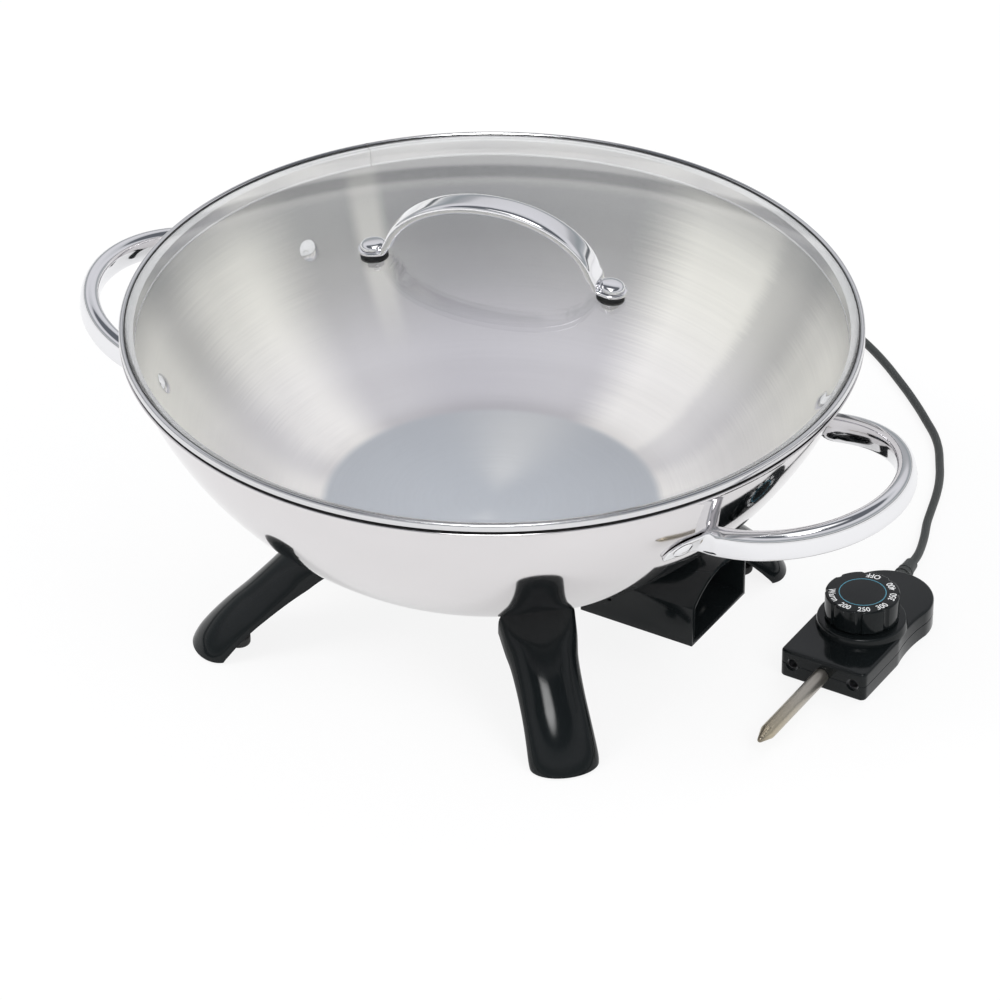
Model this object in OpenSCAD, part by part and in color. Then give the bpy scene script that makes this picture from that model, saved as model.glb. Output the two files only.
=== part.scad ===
// Electric wok: a spun steel bowl on four moulded legs, a domed glass cover, and a
// lift-off heat control whose probe and sleeves fit the socket and pins in the guard.
// Millimetres. Origin on the bowl's axis at the table, +Z up, loop handles on +X and -X,
// and the guard's mouth towards +X. The control lies unplugged beside the bowl.

/* [Bowl] */
// Radius of the flat cooking disc
flat_r = 84; // [76:1:90]
// Height of the underside of the flat disc above the table
flat_z = 61.5; // [58:0.5:70]
// Outer radius of the knuckle between the flat and the wall
knuckle_r = 48.6; // [40:0.2:56]
// Angle that the knuckle turns through before the wall starts
knuckle_a = 37.5; // [34:0.5:40]
// Outer radius of the wall's long arc
wall_arc_r = 199.5; // [190:0.5:215]
// Height of the lip's top face above the table
rim_z = 165.6; // [155:0.2:175]
// Thickness of the bowl's sheet
sheet_t = 1.5; // [1:0.1:2]
// Width of the turned-out lip beyond the wall
lip_w = 2.6; // [2:0.1:5]
// Thickness of the lip
lip_t = 1.4; // [1:0.1:2]

/* [Heating plate] */
// Radius of the plate under the flat
plate_r = 88; // [84:0.5:91]
// Thickness of the plate
plate_t = 13.5; // [12.5:0.5:16]
// Radius of the element's ring
element_ring_r = 62; // [56:0.5:64]
// Diameter of the element's sheath
element_d = 8; // [6:0.2:8.4]
// Bend radius where the element turns out to its ends
element_bend_r = 12; // [10:0.5:14]
// Distance between the two terminal pins
pin_pitch = 34; // [33:0.5:36]
// Diameter of a terminal pin
pin_d = 5; // [4:0.1:5.4]
// How far the pins reach from the axis
pin_reach = 118; // [110:1:124]
// Bore of the probe socket
socket_d = 8.4; // [8.2:0.1:9]
// Wall of the probe socket
socket_t = 1.4; // [1:0.1:1.6]
// Distance from the axis to the socket's inner end
socket_in = 33; // [25:1:40]
// Distance from the axis to the socket's mouth
socket_out = 98; // [94:1:104]

/* [Guard] */
// Distance from the axis to the guard's mouth
guard_reach = 130; // [122:1:136]
// Width of the guard outside
guard_w = 54; // [52:1:60]
// Height of the guard's floor, underside
guard_floor_z = 37; // [35:0.5:39]
// Height where the guard's straight sides end
guard_side_z = 59; // [57:0.5:60]
// Height of the guard's arched crown
guard_crown_z = 70; // [68:0.5:74]
// Wall of the guard
guard_t = 2.5; // [2:0.1:3]

/* [Legs] */
// Bearing of the first leg from +X
leg_a = 45; // [40:1:50]
// Distance from the axis to the leg's tip
leg_reach = 154; // [146:1:160]
// Height of the leg's ridge beside the plate
leg_head_z = 59; // [57:0.5:60]
// Width of the leg at its head
leg_head_w = 39; // [34:1:42]
// Width of the leg at its foot
leg_foot_w = 35; // [30:1:38]
// Wall of the leg's arch
leg_t = 3; // [2:0.1:3.6]
// Diameter of a rubber foot
foot_d = 12; // [10:0.5:13]
// Height of a rubber foot
foot_h = 5; // [4:0.2:6]

/* [Wok handles] */
// Radius of the handle's half ring, at the tube's centre
loop_r = 58.5; // [55:0.5:62]
// Distance from the bowl's axis to the half ring's centre
loop_at_x = 164.5; // [160:0.5:168]
// Height of the half ring's centre
loop_z = 127.4; // [124:0.2:132]
// Upward tilt of the handle
loop_tilt = 9.4; // [0:0.2:14]
// Height of the handle's flattened tube
loop_h = 15; // [12:0.5:18]
// Radial thickness of the handle's tube
loop_t = 10; // [8:0.5:11]
// Length of a riveted end from its rivet to its root in the tube
leaf_len = 15; // [13:0.5:18]
// Thickness of a riveted end
leaf_t = 1.8; // [1.2:0.1:2.4]
// Reach of a riveted end beyond its rivet
leaf_tip = 9.5; // [8.5:0.5:12]
// Height of the rivets
rivet_z = 127.5; // [125:0.5:132]
// Bearing of the rivets either side of the handle's centre line
rivet_a = 26.4; // [26:0.1:28]
// Diameter of a rivet's shank
rivet_d = 4.8; // [4:0.1:5.4]
// Diameter of a rivet's head
rivet_head_d = 11; // [9:0.5:13]

/* [Cover] */
// Height of the dome's top
dome_z = 200.7; // [195:0.1:210]
// Outer radius of the glass dome's sphere
dome_r = 545; // [540:1:560]
// Thickness of the glass
glass_t = 3.5; // [3:0.1:4]
// Depth of the band's skirt below the bowl's lip
skirt_h = 5; // [3:0.5:8]
// Gap between the skirt and the bowl's wall at the lip
skirt_gap = 3.1; // [2.6:0.1:5]
// Thickness of the band's sheet
band_t = 1.2; // [0.8:0.1:1.4]
// Bearing of the cover handle's length
cover_handle_a = 12.1; // [0:0.1:90]
// Distance from the axis to each of the handle's studs
stud_at = 61; // [58:0.5:66]
// Half length of the handle's arch
arch_half = 53; // [48:0.5:54]
// Rise of the handle's arch above its ends
arch_rise = 35.5; // [28:0.5:42]
// Width of the handle's strap
strap_w = 14.4; // [12:0.2:18]
// Thickness of the strap along the arch
strap_t = 5; // [3:0.2:6]
// Thickness of the flattened ends
tab_t = 2; // [1.5:0.1:2.4]
// Diameter of the flattened ends
tab_d = 16; // [14:0.5:18]
// Diameter of the studs
stud_d = 4.8; // [4:0.1:5.4]
// Diameter of the studs' domed caps
cap_d = 13; // [10:0.5:14]
// Thickness of the dark washers on both sides of the glass
washer_t = 1; // [0.8:0.1:2]

/* [Heat control] */
// Distance from the bowl's axis plane to the control's centre line
control_x = 177.5; // [176:0.5:184]
// Place of the control's front face along Y
control_y = 21; // [18:0.5:26]
// Width of the housing
control_w = 47.5; // [46:0.5:51]
// Length of the housing's straight part
control_straight = 68.5; // [66:0.5:74]
// Height of the housing
control_h = 15.5; // [15:0.1:18]
// Wall of the housing
control_t = 2; // [1.6:0.1:2.4]
// Height where the housing's two halves meet
control_part_z = 8; // [8:0.1:9]
// Chamfer round the housing's top
control_chamfer = 1.2; // [0.6:0.1:1.6]
// Depth of the finger waist in each side
waist_depth = 1.5; // [0.8:0.1:2]
// Length of the finger waist
waist_len = 30; // [24:1:34]
// Distance from the front face to the dial's axis
dial_at = 41.5; // [40:0.5:44]
// Diameter of the raised collar under the dial
collar_d = 45.2; // [42:0.2:46]
// Height of the raised collar
collar_h = 4; // [3:0.1:5]
// Diameter of the dial
dial_d = 37.5; // [34:0.5:40]
// Height of the dial
dial_h = 13; // [11:0.5:16]
// Number of grooves round the dial
dial_grooves = 8; // [6:1:12]
// Diameter of the dial's shaft
shaft_d = 6; // [5:0.2:6.6]
// Diameter of the probe
probe_d = 7.8; // [7:0.1:8]
// Length of the probe in front of the housing
probe_len = 65; // [58:1:68]

/* [Cord] */
// Diameter of the cord
cord_d = 4.5; // [4:0.1:5]
// Step between neighbouring turns of the coil
coil_pitch = 5; // [5:0.1:6]
// Radius of the coil's innermost turn
coil_in_r = 20; // [18:1:24]

/* [Hidden] */
$fn = 64;

// Clearances: a sliding or turning fit, a seat between curved faces, and a cut's overrun.
fit = 0.1;
seat = 0.1;
over = 1;
arc_steps = 10;

// The bowl's two tangent arcs. Angles are counted from straight down.
knuckle_c = [flat_r, flat_z + knuckle_r];
wall_c = on_arc(knuckle_c, knuckle_r - wall_arc_r, knuckle_a);
lip_z = rim_z - lip_t;
neck_r = wall_r(lip_z);
rim_r = neck_r + lip_w;
floor_z = flat_z + sheet_t;

plate_z = flat_z - plate_t;
element_z = flat_z - 7;
insulator_d = 10.8;
pin_root_d = pin_d - 0.8;
insulator_from = plate_r - 6;
insulator_len = 12;
element_turn = asin((pin_pitch / 2 + element_bend_r) / (element_ring_r + element_bend_r));
element_bend_c = (element_ring_r + element_bend_r) * [cos(element_turn), sin(element_turn)];
element_seat = 0.15;
element_half = concat(
    [[insulator_from, pin_pitch / 2]],
    [for (i = [0:6]) let (a = 270 - (90 - element_turn) * i / 6)
        element_bend_c + element_bend_r * [cos(a), sin(a)]],
    [for (i = [1:39]) let (a = element_turn + (180 - element_turn) * i / 40)
        element_ring_r * [cos(a), sin(a)]]);
element_path = concat(
    [for (p = element_half) [p[0], p[1], element_z]],
    [[-element_ring_r, 0, element_z]],
    [for (i = [len(element_half) - 1:-1:0]) [element_half[i][0], -element_half[i][1], element_z]]);

guard_arch_r = (pow(guard_w / 2, 2) + pow(guard_crown_z - guard_side_z, 2))
    / (2 * (guard_crown_z - guard_side_z));
// Screws sit midway between the element's ring and the plate's edge.
leg_screw_r = (element_ring_r + element_d / 2 + plate_r) / 2;
guard_from = leg_screw_r - 10;
guard_screw = [leg_screw_r, 9.3];
screw_bite = 8;
screw_d = 3;
screw_head_d = 6.4;
screw_head_h = 2.4;

leg_names = ["leg_front_right", "leg_back_right", "leg_back_left", "leg_front_left"];
leg_bearings = [-leg_a, leg_a, 180 - leg_a, 180 + leg_a];
arm_top_z = plate_z;
arm_h = 11.5;
arm_w = 18;
leg_from = plate_r + 0.6;

// The handles' bearings: each is riveted slightly off the X axis.
loop_sides = [0.6, 182.3];
rivet_tilt = asin((wall_c[1] - rivet_z) / wall_arc_r);
rivet_head_h = 1.6;

dome_c = dome_z - dome_r;
band_top_z = rim_z + 5.2;
band_seat_z = rim_z + 1.1;
cap_h = 3.2;
glass_edge_r = rim_r - 1.3;
skirt_r = wall_r(rim_z) - sheet_t - skirt_gap - band_t;

dial_x = control_x;
dial_y = control_y + dial_at;
terminal_z = 8;
collar_z = control_h + collar_h;
dial_z = collar_z + 1;
boss_d = 6.4;
control_boss_d = 9.4;
boss_places = [[-15, 30], [15, 30], [7, 79]];
probe_tip = 9;
probe_root_d = probe_d - 1.2;
// Sizes that the control's inner pieces share.
bushing_d = 9;
block_y = 17;
blade_w = 5;
blade_heights = [4.4, 8.2];
sleeve_bore = pin_d + 0.2;
relief_d = 8;
relief_in = 4;

// The cord's route: hand-placed points, the strain relief's two ends first.
relief_from = [171.5, 111.5, 7.5];
cord_exit = [168.5, 134, 5.5];
run_route = [
    cord_exit, [167.3, 143, 4.7], [164.5, 153, 3.4], [160.5, 164.5, 2.6], [156, 176, 2.4],
    [152, 189, 2.3], [148, 202, 2.3], [143, 215, 2.3], [137, 227, 2.3], [125, 247, 2.3],
    [110, 263, 2.3], [93, 279, 2.3], [80, 290, 2.3], [65, 302, 2.3], [49, 313, 2.3],
    [33, 322, 2.4], [19, 328.5, 2.7], [5, 332, 3.2], [-3, 332, 3.2],
];
coil_c = [-8, 302];
coil_z = 3.2;
coil_turns = 4;
coil_lead = 5;
tail_route = [
    [-13, 332, 8.4], [-18, 332, 8.4], [-30, 331, 7.4], [-41, 328, 5.8], [-52, 321, 4.4],
    [-60, 310, 4.2], [-63, 297, 5.2], [-63, 289, 6.6], [-63, 284, 7.4],
];
plug_at = [-63, 284, 7.4];
plug_w = 24;
plug_h = 14;
plug_len = 24;
plug_neck = 12;
blade_pitch = 12.7;

// ---------- shared geometry ----------

// A point at angle a, from straight down, on the arc about c.
function on_arc(c, r, a) = [c[0] + r * sin(a), c[1] - r * cos(a)];
function arc_points(c, r, a0, a1) =
    [for (i = [0:arc_steps]) on_arc(c, r, a0 + (a1 - a0) * i / arc_steps)];
// Outer radius of the bowl's wall at height z, and the angle of that point on an arc of radius r.
function wall_r(z) = wall_c[0] + sqrt(pow(wall_arc_r, 2) - pow(wall_c[1] - z, 2));
function wall_a(z, r) = acos((wall_c[1] - z) / r);
// Height of a sphere about the dome's centre at distance s from the axis.
function dome_h(s, r) = dome_c + sqrt(r * r - s * s);

function unit(v) = v / norm(v);
// Points of a smooth curve through the route, with steps points to each span.
function spline(p0, p1, p2, p3, t) = 0.5 * (2 * p1 + (p2 - p0) * t
    + (2 * p0 - 5 * p1 + 4 * p2 - p3) * t * t + (3 * p1 - p0 - 3 * p2 + p3) * t * t * t);
function smooth(route, steps, last) = concat(
    [for (i = [0:last - 1], k = [0:steps - 1])
        spline(route[max(i - 1, 0)], route[i], route[i + 1], route[min(i + 2, last)], k / steps)],
    [route[last]]);

// Faces between closed rings of side points, then those of a tube whose ends are capped.
function side_faces(rings, side) = concat(
    [for (i = [0:rings - 2], k = [0:side - 1]) let (n = (k + 1) % side)
        [i * side + k, (i + 1) * side + k, (i + 1) * side + n]],
    [for (i = [0:rings - 2], k = [0:side - 1]) let (n = (k + 1) % side)
        [i * side + k, (i + 1) * side + n, i * side + n]]);
function tube_faces(rings, side) = concat(
    side_faces(rings, side),
    [[for (k = [0:side - 1]) k]],
    [[for (k = [side - 1:-1:0]) (rings - 1) * side + k]]);
// Faces of a trough whose rings run over an outer arch and back under an inner one.
function trough_faces(rings, side) = concat(
    side_faces(rings, side),
    [for (k = [0:side / 2 - 2]) each [[k, k + 1, side - 1 - k], [k + 1, side - 2 - k, side - 1 - k]]],
    [for (k = [0:side / 2 - 2]) let (f = (rings - 1) * side)
        each [[f + k + 1, f + k, f + side - 1 - k], [f + side - 2 - k, f + k + 1, f + side - 1 - k]]]);

// A round tube of diameter d along the path.
module tube_along(path, d, side) {
    last = len(path) - 1;
    rings = [for (i = [0:last])
        let (along = unit(path[min(i + 1, last)] - path[max(i - 1, 0)]),
             across = unit(cross([0, 0, 1], along)),
             up = cross(along, across))
        for (k = [0:side - 1])
            path[i] + d / 2 * (across * cos(360 * k / side) + up * sin(360 * k / side))];
    polyhedron(rings, tube_faces(last + 1, side), convexity = 8);
}

// Places children with their z axis from one point towards another.
module aim(from, to) {
    d = to - from;
    translate(from) rotate([0, acos(d[2] / norm(d)), atan2(d[1], d[0])]) children();
}

// The space inside the bowl's outer surface, grown by gap, up to its lip.
module bowl_space(gap) {
    rotate_extrude(convexity = 4) polygon(concat(
        [[0, flat_z - gap]],
        arc_points(knuckle_c, knuckle_r + gap, 0, knuckle_a),
        arc_points(wall_c, wall_arc_r + gap, knuckle_a, wall_a(lip_z, wall_arc_r + gap)),
        [[0, lip_z]]));
}

// Places children on the wall's outer face at each rivet of one handle, z outwards.
module at_rivets(side) {
    for (s = [-1, 1])
        rotate(side + s * rivet_a) translate([wall_r(rivet_z), 0, rivet_z])
            rotate([0, 90 + rivet_tilt, 0]) scale_side(s) children();
}

// Turns the children over for the handle's other end.
module scale_side(s) {
    mirror([0, s < 0 ? 1 : 0, 0]) children();
}

module at_legs() {
    for (a = leg_bearings) rotate(a) children();
}

// Places children on the dome at each stud of the cover's handle, z along the dome's normal.
module at_studs() {
    for (s = [-1, 1])
        rotate(cover_handle_a) on_dome(s * stud_at) children();
}

// Places children on the dome's top face at distance s along X, z along the normal.
module on_dome(s) {
    translate([0, 0, dome_c]) rotate([0, asin(s / dome_r), 0]) translate([0, 0, dome_r]) children();
}

// Places children in the control: x across it, y back from its front face.
module in_control() {
    translate([control_x, control_y, 0]) children();
}

// A low domed head with its flat side at z = 0.
module domed_head(d, h) {
    r = (d * d / 4 + h * h) / (2 * h);
    intersection() {
        translate([0, 0, h - r]) sphere(r);
        cylinder(d = d + over, h = h + over);
    }
}

module pan_screw(length) {
    cylinder(d = screw_d, h = length);
    translate([0, 0, -screw_head_h]) cylinder(d = screw_head_d, h = screw_head_h);
}

// ---------- bowl and heating plate ----------

module bowl() {
    color([0.82, 0.83, 0.85]) difference() {
        rotate_extrude(convexity = 6) polygon(concat(
            [[0, flat_z]],
            arc_points(knuckle_c, knuckle_r, 0, knuckle_a),
            arc_points(wall_c, wall_arc_r, knuckle_a, wall_a(lip_z, wall_arc_r)),
            [[rim_r - 0.4, lip_z], [rim_r, lip_z + 0.4], [rim_r, rim_z - 0.4], [rim_r - 0.4, rim_z]],
            arc_points(wall_c, wall_arc_r - sheet_t, wall_a(rim_z, wall_arc_r - sheet_t), knuckle_a),
            arc_points(knuckle_c, knuckle_r - sheet_t, knuckle_a, 0),
            [[0, floor_z]]));
        for (side = loop_sides)
            at_rivets(side) translate([0, 0, -2 * sheet_t])
                cylinder(d = rivet_d + 2 * fit, h = 4 * sheet_t);
    }
}

// The groove for the element, open to the plate's underside: a ring, two straight leads and
// a flat-sided clearance inside each bend.
module element_groove() {
    groove_w = element_d + 2 * element_seat;
    height = element_z + groove_w / 2;
    start = asin(pin_pitch / 2 / element_ring_r);
    lead_x = (element_ring_r - groove_w / 2) * cos(start) - 0.5;
    room = 6;
    rotate(start) rotate_extrude(angle = 360 - 2 * start, convexity = 4)
        translate([element_ring_r - groove_w / 2, 0]) square([groove_w, height]);
    for (m = [0, 1]) mirror([0, m, 0]) {
        translate([lead_x, (pin_pitch - groove_w) / 2, 0])
            cube([insulator_from + 0.5 - lead_x, groove_w, height]);
        linear_extrude(height) polygon([
            element_ring_r * [cos(element_turn + room), sin(element_turn + room)],
            element_ring_r * [cos(start), sin(start)],
            [element_bend_c[0] + room, pin_pitch / 2],
        ]);
    }
}

module base_plate() {
    edge = 1.5;
    color([0.72, 0.72, 0.73]) difference() {
        rotate_extrude() polygon([[0, plate_z], [plate_r - edge, plate_z], [plate_r, plate_z + edge],
            [plate_r, flat_z], [0, flat_z]]);
        element_groove();
        for (y = [-pin_pitch / 2, pin_pitch / 2]) translate([insulator_from, y, element_z])
            rotate([0, 90, 0]) cylinder(d = insulator_d + 2 * fit, h = insulator_len);
        translate([socket_in - fit, 0, element_z]) rotate([0, 90, 0])
            cylinder(d = socket_d + 2 * socket_t + 2 * fit, h = plate_r);
        at_legs() translate([leg_screw_r, 0, plate_z - over])
            cylinder(d = screw_d + 2 * fit, h = screw_bite + 2 * over);
        for (y = [-1, 1]) translate([guard_screw[0], y * guard_screw[1], plate_z - over])
            cylinder(d = screw_d + 2 * fit, h = screw_bite + 2 * over);
    }
}

module heating_element() {
    color([0.45, 0.43, 0.42]) tube_along(element_path, element_d, 10);
}

// Each pin has a thinner root in its collar and a shoulder in front of it.
module terminal_pins() {
    tip = 1.2;
    from = insulator_from + 0.1;
    shoulder = insulator_len + 0.2;
    length = pin_reach - from;
    color([0.75, 0.76, 0.78]) for (y = [-pin_pitch / 2, pin_pitch / 2])
        translate([from, y, element_z]) rotate([0, 90, 0]) rotate_extrude()
            polygon([[0, 0], [pin_root_d / 2, 0], [pin_root_d / 2, shoulder], [pin_d / 2, shoulder],
                [pin_d / 2, length - tip], [pin_d / 2 - tip, length], [0, length]]);
}

module pin_insulators() {
    color([0.9, 0.88, 0.82]) for (y = [-pin_pitch / 2, pin_pitch / 2])
        translate([insulator_from + 0.1, y, element_z]) rotate([0, 90, 0]) difference() {
            cylinder(d = insulator_d, h = insulator_len);
            translate([0, 0, -over]) cylinder(d = pin_root_d + 2 * fit, h = insulator_len + 2 * over);
        }
}

module probe_socket() {
    closed = 2;
    color([0.7, 0.7, 0.72]) translate([socket_in, 0, element_z]) rotate([0, 90, 0]) difference() {
        cylinder(d = socket_d + 2 * socket_t, h = socket_out - socket_in);
        translate([0, 0, closed]) cylinder(d = socket_d, h = socket_out - socket_in);
    }
}

// ---------- guard and legs ----------

// The guard's section: straight sides under a flat arch, drawn in by wall t.
module guard_section(t) {
    intersection() {
        translate([-guard_w / 2 + t, guard_floor_z + t]) square([guard_w - 2 * t, guard_crown_z]);
        translate([0, guard_crown_z - guard_arch_r]) circle(r = guard_arch_r - t, $fn = 180);
    }
}

module probe_guard() {
    length = guard_reach - guard_from;
    gap = 0.4;
    color([0.08, 0.09, 0.09]) difference() {
        union() {
            difference() {
                translate([guard_from, 0, 0]) rotate([90, 0, 90]) linear_extrude(length) guard_section(0);
                translate([guard_from + guard_t, 0, 0]) rotate([90, 0, 90])
                    linear_extrude(length) guard_section(guard_t);
            }
            for (y = [-1, 1]) translate([guard_screw[0], y * guard_screw[1], guard_floor_z])
                cylinder(d = boss_d, h = plate_z - guard_floor_z);
        }
        translate([0, 0, plate_z]) cylinder(r = plate_r + gap, h = plate_t);
        bowl_space(gap);
        for (y = [-1, 1]) translate([guard_screw[0], y * guard_screw[1], guard_floor_z - over])
            cylinder(d = screw_d + 2 * fit, h = plate_z);
    }
}

module guard_screws() {
    color([0.6, 0.6, 0.62]) for (y = [-1, 1])
        translate([guard_screw[0], y * guard_screw[1], guard_floor_z])
            pan_screw(plate_z - guard_floor_z + screw_bite);
}

// Rows down a leg: share of the reach and of the head's height of the ridge, then of the
// lower edge, shares of the head's and the foot's width, and how hollow it is.
leg_shape = [
    [0, 1, 0, 0.607, 1, 0, 0.06],
    [0.144, 0.878, 0.098, 0.6, 0.964, 0, 0.06],
    [0.205, 0.831, 0.151, 0.593, 0.933, 0, 0.5],
    [0.297, 0.754, 0.22, 0.581, 0, 0.989, 0.68],
    [0.427, 0.641, 0.32, 0.515, 0, 0.96, 0.72],
    [0.572, 0.508, 0.462, 0.398, 0, 0.949, 0.72],
    [0.709, 0.386, 0.596, 0.283, 0, 0.96, 0.72],
    [0.832, 0.264, 0.709, 0.166, 0, 0.983, 0.72],
    [0.93, 0.146, 0.778, 0.085, 0, 1, 0.72],
    [0.979, 0.064, 0.81, 0.044, 0, 1, 0.72],
    [1, 0.017, 0.826, 0.017, 0, 0.989, 0.72],
];
function leg_at(share) = leg_from + (leg_reach - leg_from) * share;
leg_stations = [for (s = leg_shape) [
    [leg_at(s[0]), leg_head_z * s[1]],
    [leg_at(s[2]), leg_head_z * s[3]],
    (leg_head_w * s[4] + leg_foot_w * s[5]) / 2, s[6]]];
foot_at_r = leg_reach - 23;
foot_share = (foot_at_r - leg_from) / (leg_reach - leg_from);
foot_boss_top = leg_head_z * lookup(foot_share, [for (s = leg_shape) [s[0], s[1]]]) - leg_t - 0.3;
leg_sides = 12;

// One arch of a leg's section, from its left lower edge over the ridge to its right.
function leg_arch(ridge, edge, half_w, rise, first) = [for (k = [0:leg_sides])
    let (a = (first ? 1 : -1) * (90 - 180 * k / leg_sides),
         w = half_w * sign(sin(a)) * pow(abs(sin(a)), 0.8),
         h = rise * pow(cos(a) < 0.001 ? 0 : cos(a), 0.8),
         p = edge + (ridge - edge) * h)
        [p[0], w, p[1]]];

function leg_ring(s) = concat(
    leg_arch(s[0], s[1], s[2], 1, true),
    leg_arch(s[0], s[1], s[2] - leg_t, s[3], false));

module leg() {
    side = 2 * (leg_sides + 1);
    color([0.07, 0.08, 0.08]) {
        difference() {
            union() {
                polyhedron([for (s = leg_stations) each leg_ring(s)],
                    trough_faces(len(leg_stations), side), convexity = 6);
                translate([leg_screw_r - 3, -arm_w / 2, arm_top_z - arm_h])
                    cube([leg_from + 5.4 - leg_screw_r + 3, arm_w, arm_h]);
                translate([leg_screw_r - 3, 0, arm_top_z - arm_h]) cylinder(d = arm_w, h = arm_h);
                translate([foot_at_r, 0, foot_h + fit])
                    cylinder(d = foot_d - 5, h = foot_boss_top - foot_h - fit);
            }
            translate([leg_screw_r, 0, 0]) cylinder(d = screw_d + 2 * fit, h = rim_z);
        }
    }
}

module leg_front_right() { rotate(leg_bearings[0]) leg(); }
module leg_back_right() { rotate(leg_bearings[1]) leg(); }
module leg_back_left() { rotate(leg_bearings[2]) leg(); }
module leg_front_left() { rotate(leg_bearings[3]) leg(); }

module leg_screws() {
    color([0.6, 0.6, 0.62]) at_legs() translate([leg_screw_r, 0, arm_top_z - arm_h])
        pan_screw(arm_h + screw_bite);
}

module rubber_feet() {
    round_r = 1.5;
    color([0.15, 0.15, 0.15]) at_legs() translate([foot_at_r, 0, 0]) rotate_extrude()
        polygon(concat([[0, 0]],
            [for (a = [0:30:90]) [foot_d / 2 - round_r + round_r * sin(a), round_r - round_r * cos(a)]],
            [[foot_d / 2, foot_h], [0, foot_h]]));
}

// ---------- wok handles ----------

// The flattened tube's section, upright: width t, height h, with round top and bottom.
module stadium(t, h) {
    square([t, h - t], center = true);
    for (s = [-1, 1]) translate([0, s * (h - t) / 2]) circle(d = t);
}

// One riveted end, cut from a shell that follows the wall: its root joins the tube, its far
// end is round above and comes to a small corner below. Down is +X here.
module leaf() {
    w = loop_h - 1;
    corner_r = 2;
    round_r = w - corner_r;
    translate([0, 0, -loop_h]) linear_extrude(2 * loop_h) {
        translate([-w / 2, -leaf_len]) square([w, leaf_len + leaf_tip - round_r]);
        translate([w / 2 - corner_r, leaf_tip - round_r - over])
            square([corner_r, round_r + over - corner_r]);
        translate([w / 2 - corner_r, leaf_tip - corner_r]) circle(r = corner_r);
        translate([w / 2 - corner_r, leaf_tip - round_r]) intersection() {
            circle(r = round_r);
            translate([-w, -over]) square([w, w]);
        }
    }
}

module wall_shell(t) {
    z0 = rivet_z - loop_h;
    z1 = rivet_z + loop_h;
    inner_r = wall_arc_r + seat;
    outer_r = inner_r + t;
    rotate_extrude(convexity = 4) polygon(concat(
        arc_points(wall_c, outer_r, wall_a(z0, outer_r), wall_a(z1, outer_r)),
        arc_points(wall_c, inner_r, wall_a(z1, inner_r), wall_a(z0, inner_r))));
}

module handle(side) {
    root_x = -14;
    color([0.86, 0.87, 0.89]) {
        difference() {
            union() {
                difference() {
                    rotate(side) translate([loop_at_x, 0, loop_z]) rotate([0, -loop_tilt, 0]) {
                        rotate(-90) rotate_extrude(angle = 180, convexity = 4)
                            translate([loop_r, 0]) stadium(loop_t, loop_h);
                        for (s = [-1, 1]) translate([root_x, s * loop_r, 0]) rotate([90, 0, 90])
                            linear_extrude(-root_x) stadium(loop_t, loop_h);
                    }
                    bowl_space(seat);
                }
                intersection() {
                    wall_shell(leaf_t);
                    at_rivets(side) leaf();
                }
            }
            at_rivets(side) cylinder(d = rivet_d + 2 * fit, h = 2 * loop_h, center = true);
        }
    }
}

module handle_right() { handle(loop_sides[0]); }
module handle_left() { handle(loop_sides[1]); }

module handle_rivets() {
    outside = seat + leaf_t + 0.1;
    inside = sheet_t + 0.25;
    color([0.9, 0.91, 0.92]) for (side = loop_sides) at_rivets(side) {
        translate([0, 0, -inside]) cylinder(d = rivet_d, h = inside + outside);
        translate([0, 0, outside]) domed_head(rivet_head_d, rivet_head_h);
        translate([0, 0, -inside]) mirror([0, 0, 1]) domed_head(rivet_head_d, rivet_head_h);
    }
}

// ---------- cover ----------

module lid_glass() {
    inner = dome_r - glass_t;
    seat_r = sqrt(inner * inner - pow(band_seat_z - dome_c, 2));
    steps = 14;
    color([0.75, 0.85, 0.88, 0.4]) difference() {
        rotate_extrude(convexity = 4) polygon(concat(
            [for (i = [0:steps]) let (s = glass_edge_r * i / steps) [s, dome_h(s, dome_r)]],
            [[glass_edge_r, band_seat_z]],
            [for (i = [steps:-1:0]) let (s = seat_r * i / steps) [s, dome_h(s, inner)]]));
        at_studs() cylinder(d = stud_d + 2, h = 4 * glass_t, center = true);
    }
}

// The steel band: a flat on the lip, a skirt inside the bowl and a bead over the glass.
module lid_ring() {
    bead = 0.7;
    bead_w = 2.6;
    flat_top = band_seat_z;
    color([0.88, 0.89, 0.9]) rotate_extrude(convexity = 4) polygon([
        [skirt_r, rim_z - skirt_h],
        [skirt_r + band_t, rim_z - skirt_h],
        [skirt_r + band_t, rim_z],
        [rim_r, rim_z],
        [rim_r, band_top_z - bead / 2],
        [rim_r - bead / 2, band_top_z],
        [rim_r - bead_w, band_top_z],
        [rim_r - bead_w, band_top_z - bead],
        [glass_edge_r + 0.2, band_top_z - bead],
        [glass_edge_r + 0.2, flat_top],
        [skirt_r, flat_top],
    ]);
}

// Stations along half of the strap: place along the handle, height, width, thickness.
strap_foot_z = dome_h(stud_at, dome_r) + washer_t + tab_t / 2 + 0.3;
strap_arc = [for (a = [14:8:86]) a];
strap_half = concat(
    [[stud_at - 2, strap_foot_z - 0.25, strap_w, tab_t],
     [stud_at - 4.4, strap_foot_z + 0.1, strap_w, tab_t + 0.2],
     [arch_half + 1.4, strap_foot_z + 1.6, strap_w, tab_t + 0.8],
     [arch_half + 0.4, strap_foot_z + 4.6, strap_w, strap_t - 1]],
    [for (a = strap_arc) [arch_half * cos(a), strap_foot_z + arch_rise * sin(a), strap_w, strap_t]]);
strap_path = concat(strap_half, [[0, strap_foot_z + arch_rise, strap_w, strap_t]],
    [for (i = [len(strap_half) - 1:-1:0]) let (s = strap_half[i]) [-s[0], s[1], s[2], s[3]]]);

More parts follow.
